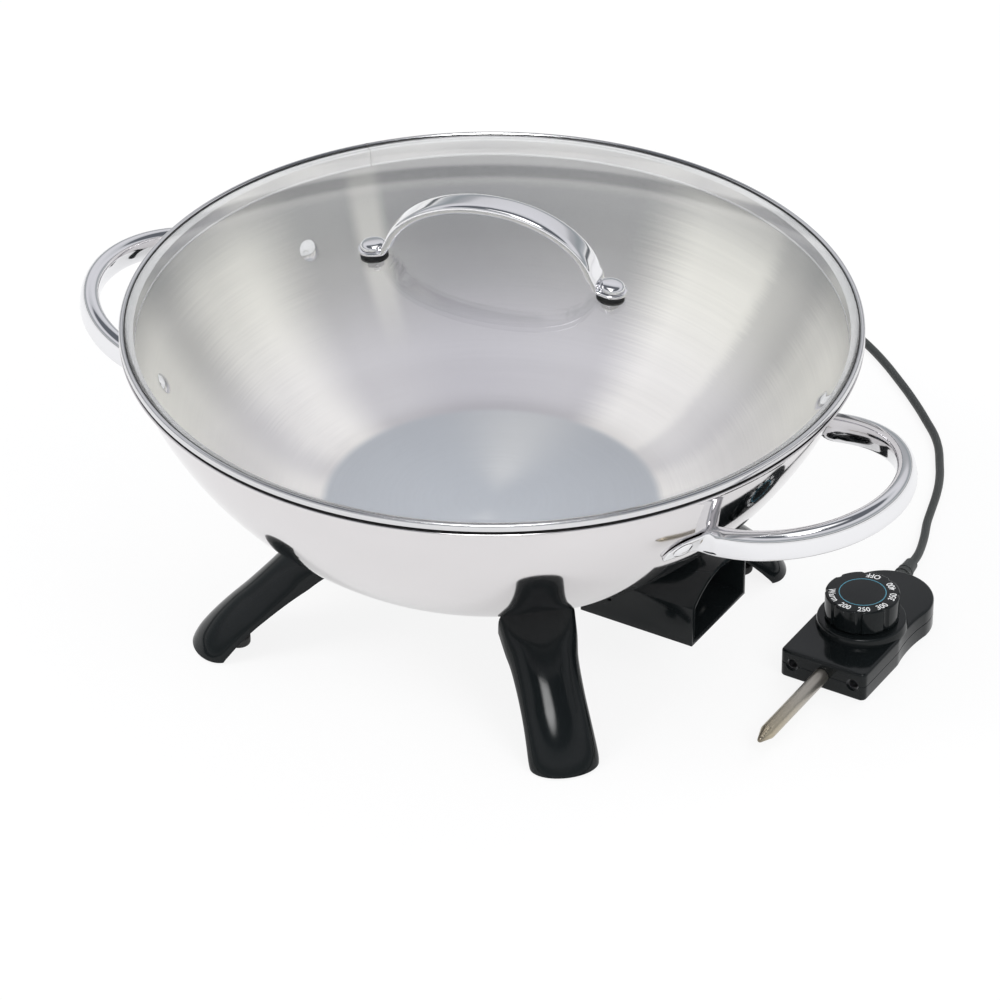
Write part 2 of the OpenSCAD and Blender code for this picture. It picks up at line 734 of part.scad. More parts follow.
module strap() {
    side = 16;
    last = len(strap_path) - 1;
    points = [for (i = [0:last])
        let (s = strap_path[i], p = strap_path[max(i - 1, 0)], q = strap_path[min(i + 1, last)],
             along = unit([q[0] - p[0], q[1] - p[1]]), out = [-along[1], along[0]])
        for (k = [0:side - 1])
            let (c = cos(360 * k / side), e = sin(360 * k / side),
                 w = s[2] / 2 * sign(c) * pow(abs(c), 0.6), t = s[3] / 2 * sign(e) * pow(abs(e), 0.75))
                [s[0] + out[0] * t, w, s[1] + out[1] * t]];
    polyhedron(points, tube_faces(last + 1, side), convexity = 4);
}

module lid_handle() {
    tab_z = washer_t + 2 * fit;
    color([0.86, 0.87, 0.89]) difference() {
        union() {
            difference() {
                rotate(cover_handle_a) strap();
                at_studs() {
                    translate([0, 0, tab_z - tab_d]) cylinder(d = 2 * tab_d, h = tab_d);
                    translate([0, 0, tab_z + tab_t]) cylinder(d = cap_d + 4 * fit, h = cap_h + over);
                }
            }
            at_studs() translate([0, 0, tab_z]) cylinder(d = tab_d, h = tab_t);
        }
        at_studs() translate([0, 0, -over]) cylinder(d = stud_d + 2 * fit, h = 2 * tab_t + washer_t + over);
    }
}

module handle_washers() {
    color([0.06, 0.06, 0.06]) at_studs() for (z = [fit, -glass_t - fit - washer_t])
        translate([0, 0, z]) difference() {
            cylinder(d = tab_d - 2, h = washer_t);
            translate([0, 0, -over]) cylinder(d = stud_d + 2 * fit, h = washer_t + 2 * over);
        }
}

module handle_studs() {
    seat_z = washer_t + tab_t + 3 * fit;
    length = seat_z + glass_t + washer_t + 6;
    color([0.9, 0.91, 0.92]) at_studs() {
        translate([0, 0, seat_z - length]) cylinder(d = stud_d, h = length);
        translate([0, 0, seat_z]) domed_head(cap_d, cap_h);
    }
}

module handle_nuts() {
    nut_w = 8;
    nut_h = 4;
    color([0.75, 0.76, 0.78]) at_studs()
        translate([0, 0, -glass_t - washer_t - 2 * fit - nut_h]) difference() {
            cylinder(d = nut_w / cos(30), h = nut_h, $fn = 6);
            translate([0, 0, -over]) cylinder(d = stud_d + 2 * fit, h = nut_h + 2 * over);
        }
}

// ---------- heat control ----------

// The housing's outline seen from above, drawn in by inset: square front, round back.
module control_outline(inset) {
    translate([-control_w / 2 + inset, inset]) square([control_w - 2 * inset, control_straight - inset]);
    translate([0, control_straight]) circle(d = control_w - 2 * inset);
}

// The finger waist cut from both sides, drawn in by inset.
module waist(inset) {
    r = pow(waist_len / 2, 2) / (2 * waist_depth) + waist_depth / 2;
    for (s = [-1, 1])
        translate([s * (control_w / 2 + r - waist_depth), dial_at + 10, -over])
            cylinder(r = r + inset, h = control_h + collar_h, $fn = 180);
}

// The holes of the front face: two for the pins and one for the probe.
module front_holes() {
    for (x = [-pin_pitch / 2, 0, pin_pitch / 2])
        translate([x, -over, terminal_z]) rotate([-90, 0, 0])
            cylinder(d = x == 0 ? probe_root_d + 2 * fit : pin_d + 1.6, h = control_t + 2 * over);
}

module control_base() {
    color([0.07, 0.08, 0.08]) in_control() difference() {
        union() {
            difference() {
                linear_extrude(control_part_z) control_outline(0);
                waist(0);
                difference() {
                    translate([0, 0, control_t]) linear_extrude(control_h) control_outline(control_t);
                    waist(control_t);
                }
            }
            for (p = boss_places) translate([p[0], p[1], control_t - 0.5])
                cylinder(d = control_boss_d, h = control_part_z - control_t);
        }
        front_holes();
        for (p = boss_places) translate([p[0], p[1], 0]) {
            translate([0, 0, -over]) cylinder(d = screw_d + 2 * fit, h = control_h);
            translate([0, 0, -over]) cylinder(d = screw_head_d + 2 * fit, h = screw_head_h + over + 0.2);
        }
        relief_bore();
    }
}

module control_top() {
    skin = control_h - control_t;
    color([0.07, 0.08, 0.08]) in_control() difference() {
        union() {
            difference() {
                union() {
                    hull() {
                        translate([0, 0, control_part_z]) linear_extrude(
                            control_h - control_part_z - control_chamfer) control_outline(0);
                        linear_extrude(control_h) control_outline(control_chamfer);
                    }
                    translate([0, dial_at, control_h - over]) cylinder(d = collar_d, h = collar_h + over);
                }
                translate([0, 0, control_part_z - control_h]) linear_extrude(control_h)
                    translate([-control_w, -control_w]) square(4 * control_w);
                waist(0);
                difference() {
                    linear_extrude(skin) control_outline(control_t);
                    waist(control_t);
                }
            }
            for (p = boss_places) translate([p[0], p[1], control_part_z])
                cylinder(d = control_boss_d, h = skin - control_part_z + 0.5);
        }
        front_holes();
        translate([0, dial_at, 0]) cylinder(d = bushing_d + 2 * fit, h = collar_z + over);
        for (p = boss_places) translate([p[0], p[1], 0]) cylinder(d = screw_d + 2 * fit, h = skin - 0.5);
        relief_bore();
    }
}

// The round seat in the back wall that the strain relief passes.
module relief_bore() {
    translate([-control_x, -control_y, 0]) aim(relief_from, cord_exit)
        translate([0, 0, -relief_in]) cylinder(d = relief_d + 2 * fit, h = 2 * relief_in);
}

module control_screws() {
    color([0.55, 0.55, 0.57]) in_control() for (p = boss_places)
        translate([p[0], p[1], screw_head_h + 0.2]) pan_screw(9);
}

// The ceramic stack that carries the blades, on the housing's floor.
module thermostat_block() {
    size = [14, 12, 8.4];
    slot_t = 1;
    color([0.9, 0.88, 0.82]) in_control() difference() {
        translate([-size[0] / 2, block_y, control_t]) cube(size);
        for (z = blade_heights) translate([-blade_w / 2 - fit, block_y - over, z - fit])
            cube([blade_w + 2 * fit, size[1] + 2 * over, slot_t - 0.4 + 2 * fit]);
    }
}

module contact_blades() {
    blade_len = 22;
    blade_t = 0.6;
    contact_d = 3.4;
    color([0.8, 0.65, 0.35]) in_control() for (i = [0, 1]) {
        translate([-blade_w / 2, block_y, blade_heights[i]]) cube([blade_w, blade_len, blade_t]);
        translate([0, block_y + blade_len - 3, blade_heights[i] + (i == 0 ? blade_t : -1)])
            cylinder(d = contact_d, h = 1);
    }
}

module terminal_sleeves() {
    sleeve_t = 0.8;
    sleeve_len = 20;
    color([0.78, 0.7, 0.45]) in_control() for (s = [-1, 1])
        translate([s * pin_pitch / 2, control_t + fit, terminal_z]) rotate([-90, 0, 0]) difference() {
            cylinder(d = sleeve_bore + 2 * sleeve_t, h = sleeve_len);
            translate([0, 0, -over]) cylinder(d = sleeve_bore, h = sleeve_len);
        }
}

// The sensing tube with its cone, carried through the front wall.
module probe() {
    inside = 14;
    blunt_d = 2.4;
    color([0.66, 0.64, 0.6]) in_control() translate([0, inside, terminal_z]) rotate([90, 0, 0])
        rotate_extrude() polygon([
            [0, 0],
            [probe_root_d / 2, 0],
            [probe_root_d / 2, inside + fit],
            [probe_d / 2, inside + fit],
            [probe_d / 2, inside + probe_len - probe_tip],
            [blunt_d / 2, inside + probe_len - 0.6],
            [blunt_d / 2 - 0.6, inside + probe_len],
            [0, inside + probe_len],
        ]);
}

// The threaded bush that carries the dial's shaft through the collar.
module shaft_bushing() {
    flange_d = bushing_d + 4;
    flange_t = 1.5;
    color([0.8, 0.68, 0.4]) in_control() translate([0, dial_at, 0]) difference() {
        union() {
            translate([0, 0, control_h - control_t - flange_t - fit]) cylinder(d = flange_d, h = flange_t);
            translate([0, 0, control_h - control_t - flange_t - fit])
                cylinder(d = bushing_d, h = collar_z - control_h + control_t + flange_t);
        }
        cylinder(d = shaft_d + 2 * fit, h = collar_z + over);
    }
}

module dial_shaft() {
    cam_z = 9.2;
    cam_d = 9;
    cam_h = 2;
    flat = 0.8;
    color([0.75, 0.76, 0.78]) translate([dial_x, dial_y, 0]) difference() {
        union() {
            translate([0, 0, cam_z]) cylinder(d = shaft_d, h = dial_z + dial_h - 4 - cam_z);
            translate([0.8, 0, cam_z]) cylinder(d = cam_d, h = cam_h);
        }
        translate([shaft_d / 2 - flat, -shaft_d, dial_z + 1]) cube([shaft_d, 2 * shaft_d, dial_h]);
    }
}

// The scalloped dial: a hollow cap with a hub on the shaft and grooves round its side.
module dial() {
    skin = 2;
    hub_d = 11;
    groove_d = 5;
    groove_depth = 0.9;
    edge = 0.9;
    bore_top = dial_h - 4 + fit;
    color([0.07, 0.08, 0.08]) translate([dial_x, dial_y, dial_z]) difference() {
        rotate_extrude(convexity = 4) polygon([
            [0, 0], [hub_d / 2, 0], [hub_d / 2, dial_h - skin],
            [dial_d / 2 - skin, dial_h - skin], [dial_d / 2 - skin, 0],
            [dial_d / 2, 0], [dial_d / 2, dial_h - edge], [dial_d / 2 - edge, dial_h], [0, dial_h],
        ]);
        translate([0, 0, -over]) cylinder(d = shaft_d + 2 * fit, h = bore_top + over);
        for (i = [0:dial_grooves - 1]) rotate(360 * (i + 0.5) / dial_grooves)
            translate([dial_d / 2 + groove_d / 2 - groove_depth, 0, -over])
                cylinder(d = groove_d, h = dial_h + 2 * over);
    }
}

// The ribbed sleeve that leads the cord out of the back of the housing.
module strain_relief() {
    length = norm(cord_exit - relief_from);
    collar = 2;
    rib = 1.6;
    out = 2.4;
    color([0.09, 0.1, 0.1]) aim(relief_from, cord_exit) {
        translate([0, 0, -relief_in + 0.5]) cylinder(d = relief_d, h = relief_in + out);
        translate([0, 0, out]) cylinder(d1 = relief_d + 1, d2 = cord_d + 2.4, h = length - out);
        for (i = [0:2]) translate([0, 0, out + 2 + 4.4 * i])
            cylinder(d = relief_d + collar - i * 0.8, h = rib);
    }
}

// ---------- cord ----------

// Height of the coil at turn count t: the climb takes the half turn where it reverses.
coil_mid = coil_turns / 2;
function coil_rise(t) = let (u = min(max((t - coil_mid + 0.25) / 0.5, 0), 1)) u * u * (3 - 2 * u);
function coil_point(t) =
    let (r = coil_in_r + coil_pitch * abs(t - coil_mid), a = 90 + 360 * t)
        [coil_c[0] + r * cos(a), coil_c[1] + r * sin(a), coil_z + (coil_pitch + 0.2) * coil_rise(t)];
coil_path = concat(
    [coil_point(0) + [coil_lead, 0, 0]],
    [for (i = [0:coil_turns * 24]) coil_point(i / 24)],
    [coil_point(coil_turns) - [coil_lead, 0, 0]]);
// The least gap between turns, measured between points half a turn or more apart.
coil_gap = min([for (i = [0:len(coil_path) - 1], k = [i + 12:1:len(coil_path) - 1])
    norm(coil_path[i] - coil_path[k])]) - cord_d;
echo(coil_least_gap = coil_gap);

module cord_run() {
    color([0.12, 0.13, 0.13]) tube_along(smooth(run_route, 2, len(run_route) - 1), cord_d, 8);
}

module cord_coil() {
    color([0.12, 0.13, 0.13]) tube_along(coil_path, cord_d, 6);
}

module cord_tail() {
    color([0.12, 0.13, 0.13]) tube_along(smooth(tail_route, 2, len(tail_route) - 1), cord_d, 8);
}

// A flat tie round the coil's turns, on the side nearest the bowl.
module cord_tie() {
    tie_t = 0.8;
    tie_w = 5;
    slack = 0.5;
    low = coil_in_r - cord_d / 2;
    high = coil_in_r + coil_pitch * coil_mid + cord_d / 2;
    top = coil_z + coil_pitch + cord_d / 2 + slack;
    bottom = coil_z - cord_d / 2 - 0.05;
    color([0.05, 0.05, 0.05]) translate([coil_c[0] - tie_w / 2, coil_c[1] - high, 0]) difference() {
        translate([0, -tie_t, bottom - tie_t])
            cube([tie_w, high - low + 2 * tie_t, top - bottom + 2 * tie_t]);
        translate([-over, 0, bottom]) cube([tie_w + 2 * over, high - low, top - bottom]);
    }
}

// The plug lies on its side with its blades away from the coil.
module plug_body() {
    color([0.09, 0.1, 0.1]) translate([plug_at[0], plug_at[1], 0]) {
        translate([0, 0, plug_at[2]]) rotate([90, 0, 0])
            cylinder(d1 = cord_d + 2.4, d2 = plug_h - 3, h = plug_neck);
        difference() {
            translate([0, -plug_neck - plug_len, plug_at[2] - plug_h / 2]) linear_extrude(plug_h)
                polygon([[-plug_w / 2, 0], [plug_w / 2, 0], [plug_w / 2, plug_len - 8],
                    [plug_w / 2 - 5, plug_len + 0.5], [-plug_w / 2 + 5, plug_len + 0.5],
                    [-plug_w / 2, plug_len - 8]]);
            for (s = [-1, 1]) translate([s * (plug_w / 2 + 14.2), -plug_neck - plug_len / 2, -over])
                cylinder(r = 15, h = 2 * plug_h);
        }
    }
}

module plug_blades() {
    blade = [1.5, 17, 6.3];
    hole_d = 3;
    color([0.8, 0.75, 0.5]) for (s = [-1, 1])
        translate([plug_at[0] + s * blade_pitch / 2, plug_at[1] - plug_neck - plug_len, plug_at[2]])
            difference() {
                translate([-blade[0] / 2, -blade[1], -blade[2] / 2]) cube(blade);
                translate([-over, -blade[1] + 4, 0]) rotate([0, 90, 0]) cylinder(d = hole_d, h = 2 * over);
            }
}

bowl();
base_plate();
heating_element();
terminal_pins();
pin_insulators();
probe_socket();
probe_guard();
guard_screws();
leg_front_right();
leg_back_right();
leg_back_left();
leg_front_left();
leg_screws();
rubber_feet();
handle_right();
handle_left();
handle_rivets();
lid_glass();
lid_ring();
lid_handle();
handle_washers();
handle_studs();
handle_nuts();
control_base();
control_top();
control_screws();
thermostat_block();
contact_blades();
terminal_sleeves();
probe();
shaft_bushing();
dial_shaft();
dial();
strain_relief();
cord_run();
cord_coil();
cord_tail();
cord_tie();
plug_body();
plug_blades();
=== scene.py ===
"""Looks of an electric wok: polished bowl, glass cover, moulded legs and a plug-in heat control."""

import logging
import math
from dataclasses import dataclass, field
from enum import Enum
from typing import Callable, Optional, Sequence, Union

import bmesh
import bpy
from mathutils import Matrix, Vector


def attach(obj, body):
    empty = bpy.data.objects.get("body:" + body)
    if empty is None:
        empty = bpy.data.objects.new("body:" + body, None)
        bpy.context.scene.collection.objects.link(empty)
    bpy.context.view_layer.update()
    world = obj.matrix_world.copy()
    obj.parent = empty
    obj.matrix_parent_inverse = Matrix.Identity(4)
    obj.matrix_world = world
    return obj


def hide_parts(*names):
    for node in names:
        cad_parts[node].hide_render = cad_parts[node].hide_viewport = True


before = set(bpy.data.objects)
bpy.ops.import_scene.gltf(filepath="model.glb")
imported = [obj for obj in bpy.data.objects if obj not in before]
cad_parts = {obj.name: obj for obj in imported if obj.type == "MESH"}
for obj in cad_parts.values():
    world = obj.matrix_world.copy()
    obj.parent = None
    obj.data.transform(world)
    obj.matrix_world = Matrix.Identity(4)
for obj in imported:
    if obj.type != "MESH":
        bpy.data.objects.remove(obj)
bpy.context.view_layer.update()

LOG = logging.getLogger("wok")
MM = 0.001
WHITE = (1.0, 1.0, 1.0)
MERGE = 1e-7        # points nearer than this, in metres, become one
EDGE_STEPS = 6      # steps across a rounded edge
SECTION_POINTS = 40  # points round a swept section
TURNED_FINE = 256   # steps round the bowl's and the band's axis

Point = tuple[float, float, float]
Pair = tuple[float, float]
Colour = tuple[float, float, float]
Stops = Sequence[tuple[float, float, float, float]]
Shape = bmesh.types.BMesh
Thing = bpy.types.Object


# ---------------------------------------------------------------- shader maths

class Value:
    """A node socket that can be used in Python expressions."""

    def __init__(self, graph: "Graph", socket: bpy.types.NodeSocket) -> None:
        """Wraps one output socket of a graph."""
        self.graph = graph
        self.socket = socket

    def __add__(self, other: "Number") -> "Value":
        """Sum."""
        return self.graph.maths("ADD", self, other)

    __radd__ = __add__

    def __sub__(self, other: "Number") -> "Value":
        """Difference."""
        return self.graph.maths("SUBTRACT", self, other)

    def __rsub__(self, other: float) -> "Value":
        """Difference from a number."""
        return self.graph.maths("SUBTRACT", other, self)

    def __mul__(self, other: "Number") -> "Value":
        """Product."""
        return self.graph.maths("MULTIPLY", self, other)

    __rmul__ = __mul__

    def __pow__(self, other: "Number") -> "Value":
        """Power."""
        return self.graph.maths("POWER", self, other)

    def sine(self) -> "Value":
        """Sine of an angle in radians."""
        return self.graph.maths("SINE", self)

    def absolute(self) -> "Value":
        """Magnitude."""
        return self.graph.maths("ABSOLUTE", self)

    def step(self, low: float, high: float) -> "Value":
        """Smooth step from 0 at low to 1 at high."""
        return self.graph.add("ShaderNodeMapRange", {"interpolation_type": "SMOOTHSTEP"},
                              {"Value": self, "From Min": low, "From Max": high}, "Result")


Number = Union[float, Value]
Link = Union[float, Sequence[float], Value]


class Graph:
    """The node tree of one material or world."""

    def __init__(self, name: str, world: bool = False) -> None:
        """Makes an empty tree with an output node.

        Args:
            name: The material's or world's name.
            world: Whether it is a world.
        """
        self.owner = (bpy.data.worlds if world else bpy.data.materials).new(name)
        self.owner.use_nodes = True
        self.tree = self.owner.node_tree
        self.tree.nodes.clear()
        self.output = self.tree.nodes.new(f"ShaderNodeOutput{'World' if world else 'Material'}")

    def add(self, kind: str, settings: Optional[dict] = None,
            inputs: Union[Sequence[Link], dict] = (), output: Union[int, str] = 0) -> Value:
        """Adds one node.

        Args:
            kind: The node's type.
            settings: Attributes to set first; "stops" fills a colour ramp.
            inputs: Values or links, in socket order or by socket.
            output: The output socket to return.

        Returns:
            The chosen output.
        """
        node = self.tree.nodes.new(kind)
        for key, setting in (settings or {}).items():
            if key == "stops":
                self._fill_ramp(node, setting)
            else:
                setattr(node, key, setting)
        for key, link in inputs.items() if isinstance(inputs, dict) else enumerate(inputs):
            if isinstance(link, Value):
                self.tree.links.new(link.socket, node.inputs[key])
            else:
                node.inputs[key].default_value = link
        return Value(self, node.outputs[output])

    @staticmethod
    def _fill_ramp(node: bpy.types.Node, stops: Stops) -> None:
        """Sets a colour ramp's stops, each a place from 0 to 1 and a colour."""
        node.color_ramp.interpolation = "EASE"
        elements = node.color_ramp.elements
        while len(elements) < len(stops):
            elements.new(0.5)
        for element, (place, *colour) in zip(elements, stops):
            element.position = place
            element.color = (*colour, 1.0)

    def maths(self, operation: str, *inputs: Number) -> Value:
        """One Math node's result."""
        return self.add("ShaderNodeMath", {"operation": operation}, inputs)

    def place(self, kind: str = "Object") -> Value:
        """Coordinates of the point that is shaded."""
        return self.add("ShaderNodeTexCoord", output=kind)

    def part(self, vector: Value, axis: str) -> Value:
        """One part of a vector."""
        return self.add("ShaderNodeSeparateXYZ", None, [vector], axis)

    def ray(self, kind: str) -> Value:
        """1 for rays of a kind, such as Camera, and 0 for others."""
        return self.add("ShaderNodeLightPath", output=f"Is {kind} Ray")

    def noise(self, scale: float, detail: float = 3.0, where: Optional[Value] = None) -> Value:
        """Noise from 0 to 1.

        Args:
            scale: Features to the metre.
            detail: Octaves.
            where: Coordinates, Object ones if left out.

        Returns:
            The noise value.
        """
        return self.add("ShaderNodeTexNoise", None, {
            "Vector": where or self.place(), "Scale": scale, "Detail": detail})

    def mix(self, factor: Number, first: Link, second: Link) -> Value:
        """Mixes two colours.

        Args:
            factor: 0 for the first, 1 for the second.
            first: A colour.
            second: A colour.

        Returns:
            The mixed colour.
        """
        first, second = (c if isinstance(c, Value) else (*c, 1.0) for c in (first, second))
        return self.add("ShaderNodeMix", {"data_type": "RGBA"}, {0: factor, 6: first, 7: second}, 2)

    def bump(self, height: Value, distance: float, strength: float) -> Value:
        """A normal bumped by a height from 0 to 1, which stands for a distance in metres."""
        return self.add("ShaderNodeBump", None, {
            "Strength": strength, "Distance": distance, "Height": height})

    def ramp(self, place: Value, stops: Stops) -> Value:
        """The colour at a place along a ramp."""
        return self.add("ShaderNodeValToRGB", {"stops": stops}, [place], "Color")

    def close(self, shader: Value) -> Union[bpy.types.Material, bpy.types.World]:
        """Ends the tree in a shader and returns what it belongs to."""
        self.tree.links.new(shader.socket, self.output.inputs["Surface"])
        return self.owner

    def surface(self, **inputs: Link) -> bpy.types.Material:
        """Ends the material in one Principled shader with inputs such as Base_Color."""
        named = {key.replace("_", " "): link for key, link in inputs.items()}
        return self.close(self.add("ShaderNodeBsdfPrincipled", None, named))


def scaled(colour: Colour, share: float, more: float = 0.0) -> Colour:
    """A colour times a share, plus a little more, up to 1."""
    return tuple(min(1.0, c * share + more) for c in colour)


# ---------------------------------------------------------------- finishes

@dataclass(frozen=True)
class Polished:
    """Polished bare metal: faint smears in tone and gloss, and a hint of unevenness."""

    name: str
    colour: Colour
    roughness: float
    smear: float = 0.03
    wave_depth: float = 0.00012

    def build(self) -> bpy.types.Material:
        """Makes the material."""
        graph = Graph(self.name)
        smears, fine, wave = graph.noise(26.0, 4.0), graph.noise(700.0, 2.0), graph.noise(34.0, 1.0)
        return graph.surface(
            Base_Color=graph.mix(smears, scaled(self.colour, 0.96), self.colour),
            Metallic=1.0,
            Roughness=self.roughness + smears * self.smear + fine * 0.01,
            Normal=graph.bump(wave, self.wave_depth, 0.25))


@dataclass(frozen=True)
class BrushedBowl:
    """The bowl's inside: brushed round the axis, with soft sectors of painted light and shade.

    The wall, the knuckle and the disc each have a tone in painted shade and one in painted
    light. The sheen holds bearings in degrees with their share of painted light. The streak is
    the bearing of a narrow painted highlight and the glint that of a painted highlight wedge on
    the disc, both in radians. wall_from holds radii in metres between which the upper wall
    starts, and the rim's pair those between which the painted shade at the rim starts.
    """

    name: str
    wall: tuple[Colour, Colour]
    knuckle: tuple[Colour, Colour]
    disc: tuple[Colour, Colour]
    disc_r: float
    painted_sheen: tuple[Pair, ...]
    painted_streak: float = 2.5
    painted_glint: float = 1.9
    wall_from: Pair = (0.118, 0.160)
    painted_rim_shade_from: Pair = (0.166, 0.178)
    metallic: float = 0.4

    def build(self) -> bpy.types.Material:
        """Makes the material from the radius and the bearing round the bowl's axis."""
        graph = Graph(self.name)
        x, y, z = (graph.part(graph.place(), axis) for axis in "XYZ")
        radius = (x * x + y * y) ** 0.5
        bearing = graph.maths("ARCTAN2", y, x)
        rings = graph.noise(1.0, 3.0, graph.add(
            "ShaderNodeCombineXYZ", None, [radius * 1500.0, bearing * 1.2, z * 600.0]))
        turn = bearing * (0.5 / math.pi) + 0.5 + (rings - 0.5) * 0.012
        # painted light: a share of painted highlight for each bearing round the axis
        light = graph.ramp(turn, [((degrees + 180) / 360, share, share, share)
                                  for degrees, share in self.painted_sheen])
        # the upper wall and the knuckle each mix their painted shade and painted light tones by
        # that share
        upper = radius.step(*self.wall_from)
        tone = graph.mix(upper, graph.mix(light, *self.knuckle), graph.mix(light, *self.wall))
        # painted highlight: a narrow streak on the upper wall, lightened towards the light tone
        painted_streak = (bearing - self.painted_streak).absolute().step(0.07, 0.02) * upper
        tone = graph.mix(painted_streak * 0.5, tone, self.wall[1])
        # painted shade: the wall darkens towards the rim
        tone = graph.mix(radius.step(*self.painted_rim_shade_from) * 0.45, tone, scaled(self.wall[0], 0.5))
        # painted highlight: a bright wedge across the disc along one bearing
        painted_glint_wedge = (bearing - self.painted_glint + math.pi / 2).sine().absolute() ** 14.0
        on_disc = radius.step(self.disc_r + 0.003, self.disc_r - 0.003)
        tone = graph.mix(on_disc, tone, graph.mix(painted_glint_wedge * radius.step(0.002, 0.03), *self.disc))
        return graph.surface(
            Base_Color=graph.mix(rings * 0.14, tone, self.wall[0]),
            Metallic=self.metallic,
            Roughness=0.28 + rings * 0.12,
            Normal=graph.bump(rings, 0.00006, 0.5))


@dataclass(frozen=True)
class Moulded:
    """Moulded plastic, rubber or ceramic: flow marks in tone and gloss, and a fine grain."""

    name: str
    colour: Colour
    roughness: float
    grain: float = 0.00002
    grain_scale: float = 900.0
    specular: float = 0.5

    def build(self) -> bpy.types.Material:
        """Makes the material."""
        graph = Graph(self.name)
        cloud = graph.noise(45.0, 3.0)
        return graph.surface(
            Base_Color=graph.mix(cloud, self.colour, scaled(self.colour, 1.35, 0.001)),
            Roughness=self.roughness + cloud * 0.06,
            Specular_IOR_Level=self.specular,
            Normal=graph.bump(graph.noise(self.grain_scale, 2.0), self.grain, 0.6))


@dataclass(frozen=True)
class ClearGlass:
    """Clear tempered glass that lets lamp light through."""

    name: str
    tint: Colour

    def build(self) -> bpy.types.Material:
        """Makes a glass that shadow rays pass straight through."""
        graph = Graph(self.name)
        glass = graph.add("ShaderNodeBsdfPrincipled", None, {
            "Base Color": (*self.tint, 1.0), "Roughness": 0.0, "IOR": 1.5,
            "Transmission Weight": 1.0})
        clear = graph.add("ShaderNodeBsdfTransparent", None, {"Color": (*self.tint, 1.0)})
        return graph.close(graph.add("ShaderNodeMixShader", None,
                                     [graph.ray("Shadow"), glass, clear]))


@dataclass(frozen=True)
class ProbeSteel:
    """Satin steel that is browned towards the probe's tip, with y in metres."""

    name: str
    steel: Colour
    straw: Colour
    dark: Colour
    tip_y: float
    root_y: float

    def build(self) -> bpy.types.Material:
        """Makes the material from the place along the probe."""
        graph = Graph(self.name)
        along, wobble = graph.part(graph.place(), "Y"), graph.noise(160.0, 3.0)
        rings = graph.noise(1.0, 2.0, graph.add("ShaderNodeMapping", None, {
            "Vector": graph.place(), "Scale": (60.0, 2600.0, 60.0)}))
        heat = (along + wobble * 0.006).step(self.root_y, self.tip_y)
        burnt = (along + wobble * 0.004).step(self.tip_y + 0.010, self.tip_y - 0.002)
        tone = graph.mix(burnt, graph.mix(heat, self.steel, self.straw), self.dark)
        return graph.surface(
            Base_Color=graph.mix(rings * 0.35, tone, self.steel),
            Metallic=0.95,
            Roughness=0.3 + rings * 0.12,
            Normal=graph.bump(rings, 0.00003, 0.5))


class Finish(Enum):
    """The finishes that the wok's pieces share."""

    MIRROR = Polished("mirror_steel", (0.725, 0.705, 0.71), 0.045)
    # painted shade and painted light tones of the wall, the knuckle and the disc, then bearings
    # with their share of painted light
    INSIDE = BrushedBowl(
        "brushed_bowl", ((0.19, 0.19, 0.205), (0.97, 0.95, 0.88)),
        ((0.52, 0.505, 0.555), (0.96, 0.93, 0.92)),
        ((0.50, 0.525, 0.58), (0.66, 0.67, 0.70)), 0.084,
        ((-180, 0.85), (-168, 0.50), (-156, 0.90), (-146, 0.97), (-120, 0.60), (-90, 0.85),
         (-55, 0.50), (-20, 0.80), (10, 0.55), (34, 1.0), (44, 0.85), (52, 0.50), (61, 0.60),
         (66, 1.0), (80, 0.95), (95, 0.15), (128, 0.04), (154, 0.22), (171, 0.97), (180, 0.85)))
    HANDLE = Polished("polished_handle", (0.81, 0.81, 0.825), 0.05)
    BAND = Polished("bright_band", (0.68, 0.68, 0.69), 0.14)
    PLATE = Polished("cast_plate", (0.68, 0.67, 0.68), 0.32, 0.10)
    SHEATH = Polished("element_sheath", (0.26, 0.24, 0.23), 0.45, 0.15)
    ZINC = Polished("zinc_screws", (0.62, 0.62, 0.64), 0.3)
    PINS = Polished("plated_pins", (0.72, 0.71, 0.68), 0.18)
    BRASS = Polished("contact_brass", (0.74, 0.58, 0.28), 0.25)
    BLACK = Moulded("gloss_black", (0.005, 0.0065, 0.007), 0.08, 0.00001, 420.0, 0.22)
    RUBBER = Moulded("foot_rubber", (0.020, 0.020, 0.020), 0.55, 0.00006, 1500.0)
    CORD = Moulded("cord_black", (0.028, 0.031, 0.030), 0.48, 0.00008, 1300.0)
    CERAMIC = Moulded("ceramic", (0.72, 0.69, 0.62), 0.6, 0.00004, 1600.0)
    GLASS = ClearGlass("cover_glass", (0.995, 1.0, 1.0))
    PROBE = ProbeSteel("probe_steel", (0.50, 0.47, 0.42), (0.46, 0.40, 0.28), (0.13, 0.11, 0.08),
                       -0.044, 0.012)
    LETTER = Moulded("dial_white", (0.82, 0.84, 0.84), 0.5)
    CIRCLE = Moulded("dial_circle", (0.06, 0.22, 0.30), 0.4)


_MADE: dict[Finish, bpy.types.Material] = {}


def finish_material(finish: Finish) -> bpy.types.Material:
    """The one material of a finish, made when it is first asked for."""
    if finish not in _MADE:
        _MADE[finish] = finish.value.build()
    return _MADE[finish]


# ---------------------------------------------------------------- mesh helpers

def turned(degrees: float, axis: str = "Z") -> Matrix:
    """A turn about an axis."""
    return Matrix.Rotation(math.radians(degrees), 4, axis)


def moved(x: float, y: float, z: float) -> Matrix:
    """A shift in millimetres."""
    return Matrix.Translation(Vector((x, y, z)) * MM)


def add_object(name: str, data: bpy.types.ID) -> Thing:
    """Links a new object that holds a mesh, curve, lamp or camera."""
    made = bpy.data.objects.new(name, data)
    bpy.context.scene.collection.objects.link(made)
    return made


def to_mesh(name: str, shape: Shape) -> bpy.types.Mesh:
    """Moves a shape into a new mesh and frees it."""
    mesh = bpy.data.meshes.new(name)
    shape.to_mesh(mesh)
    shape.free()
    return mesh


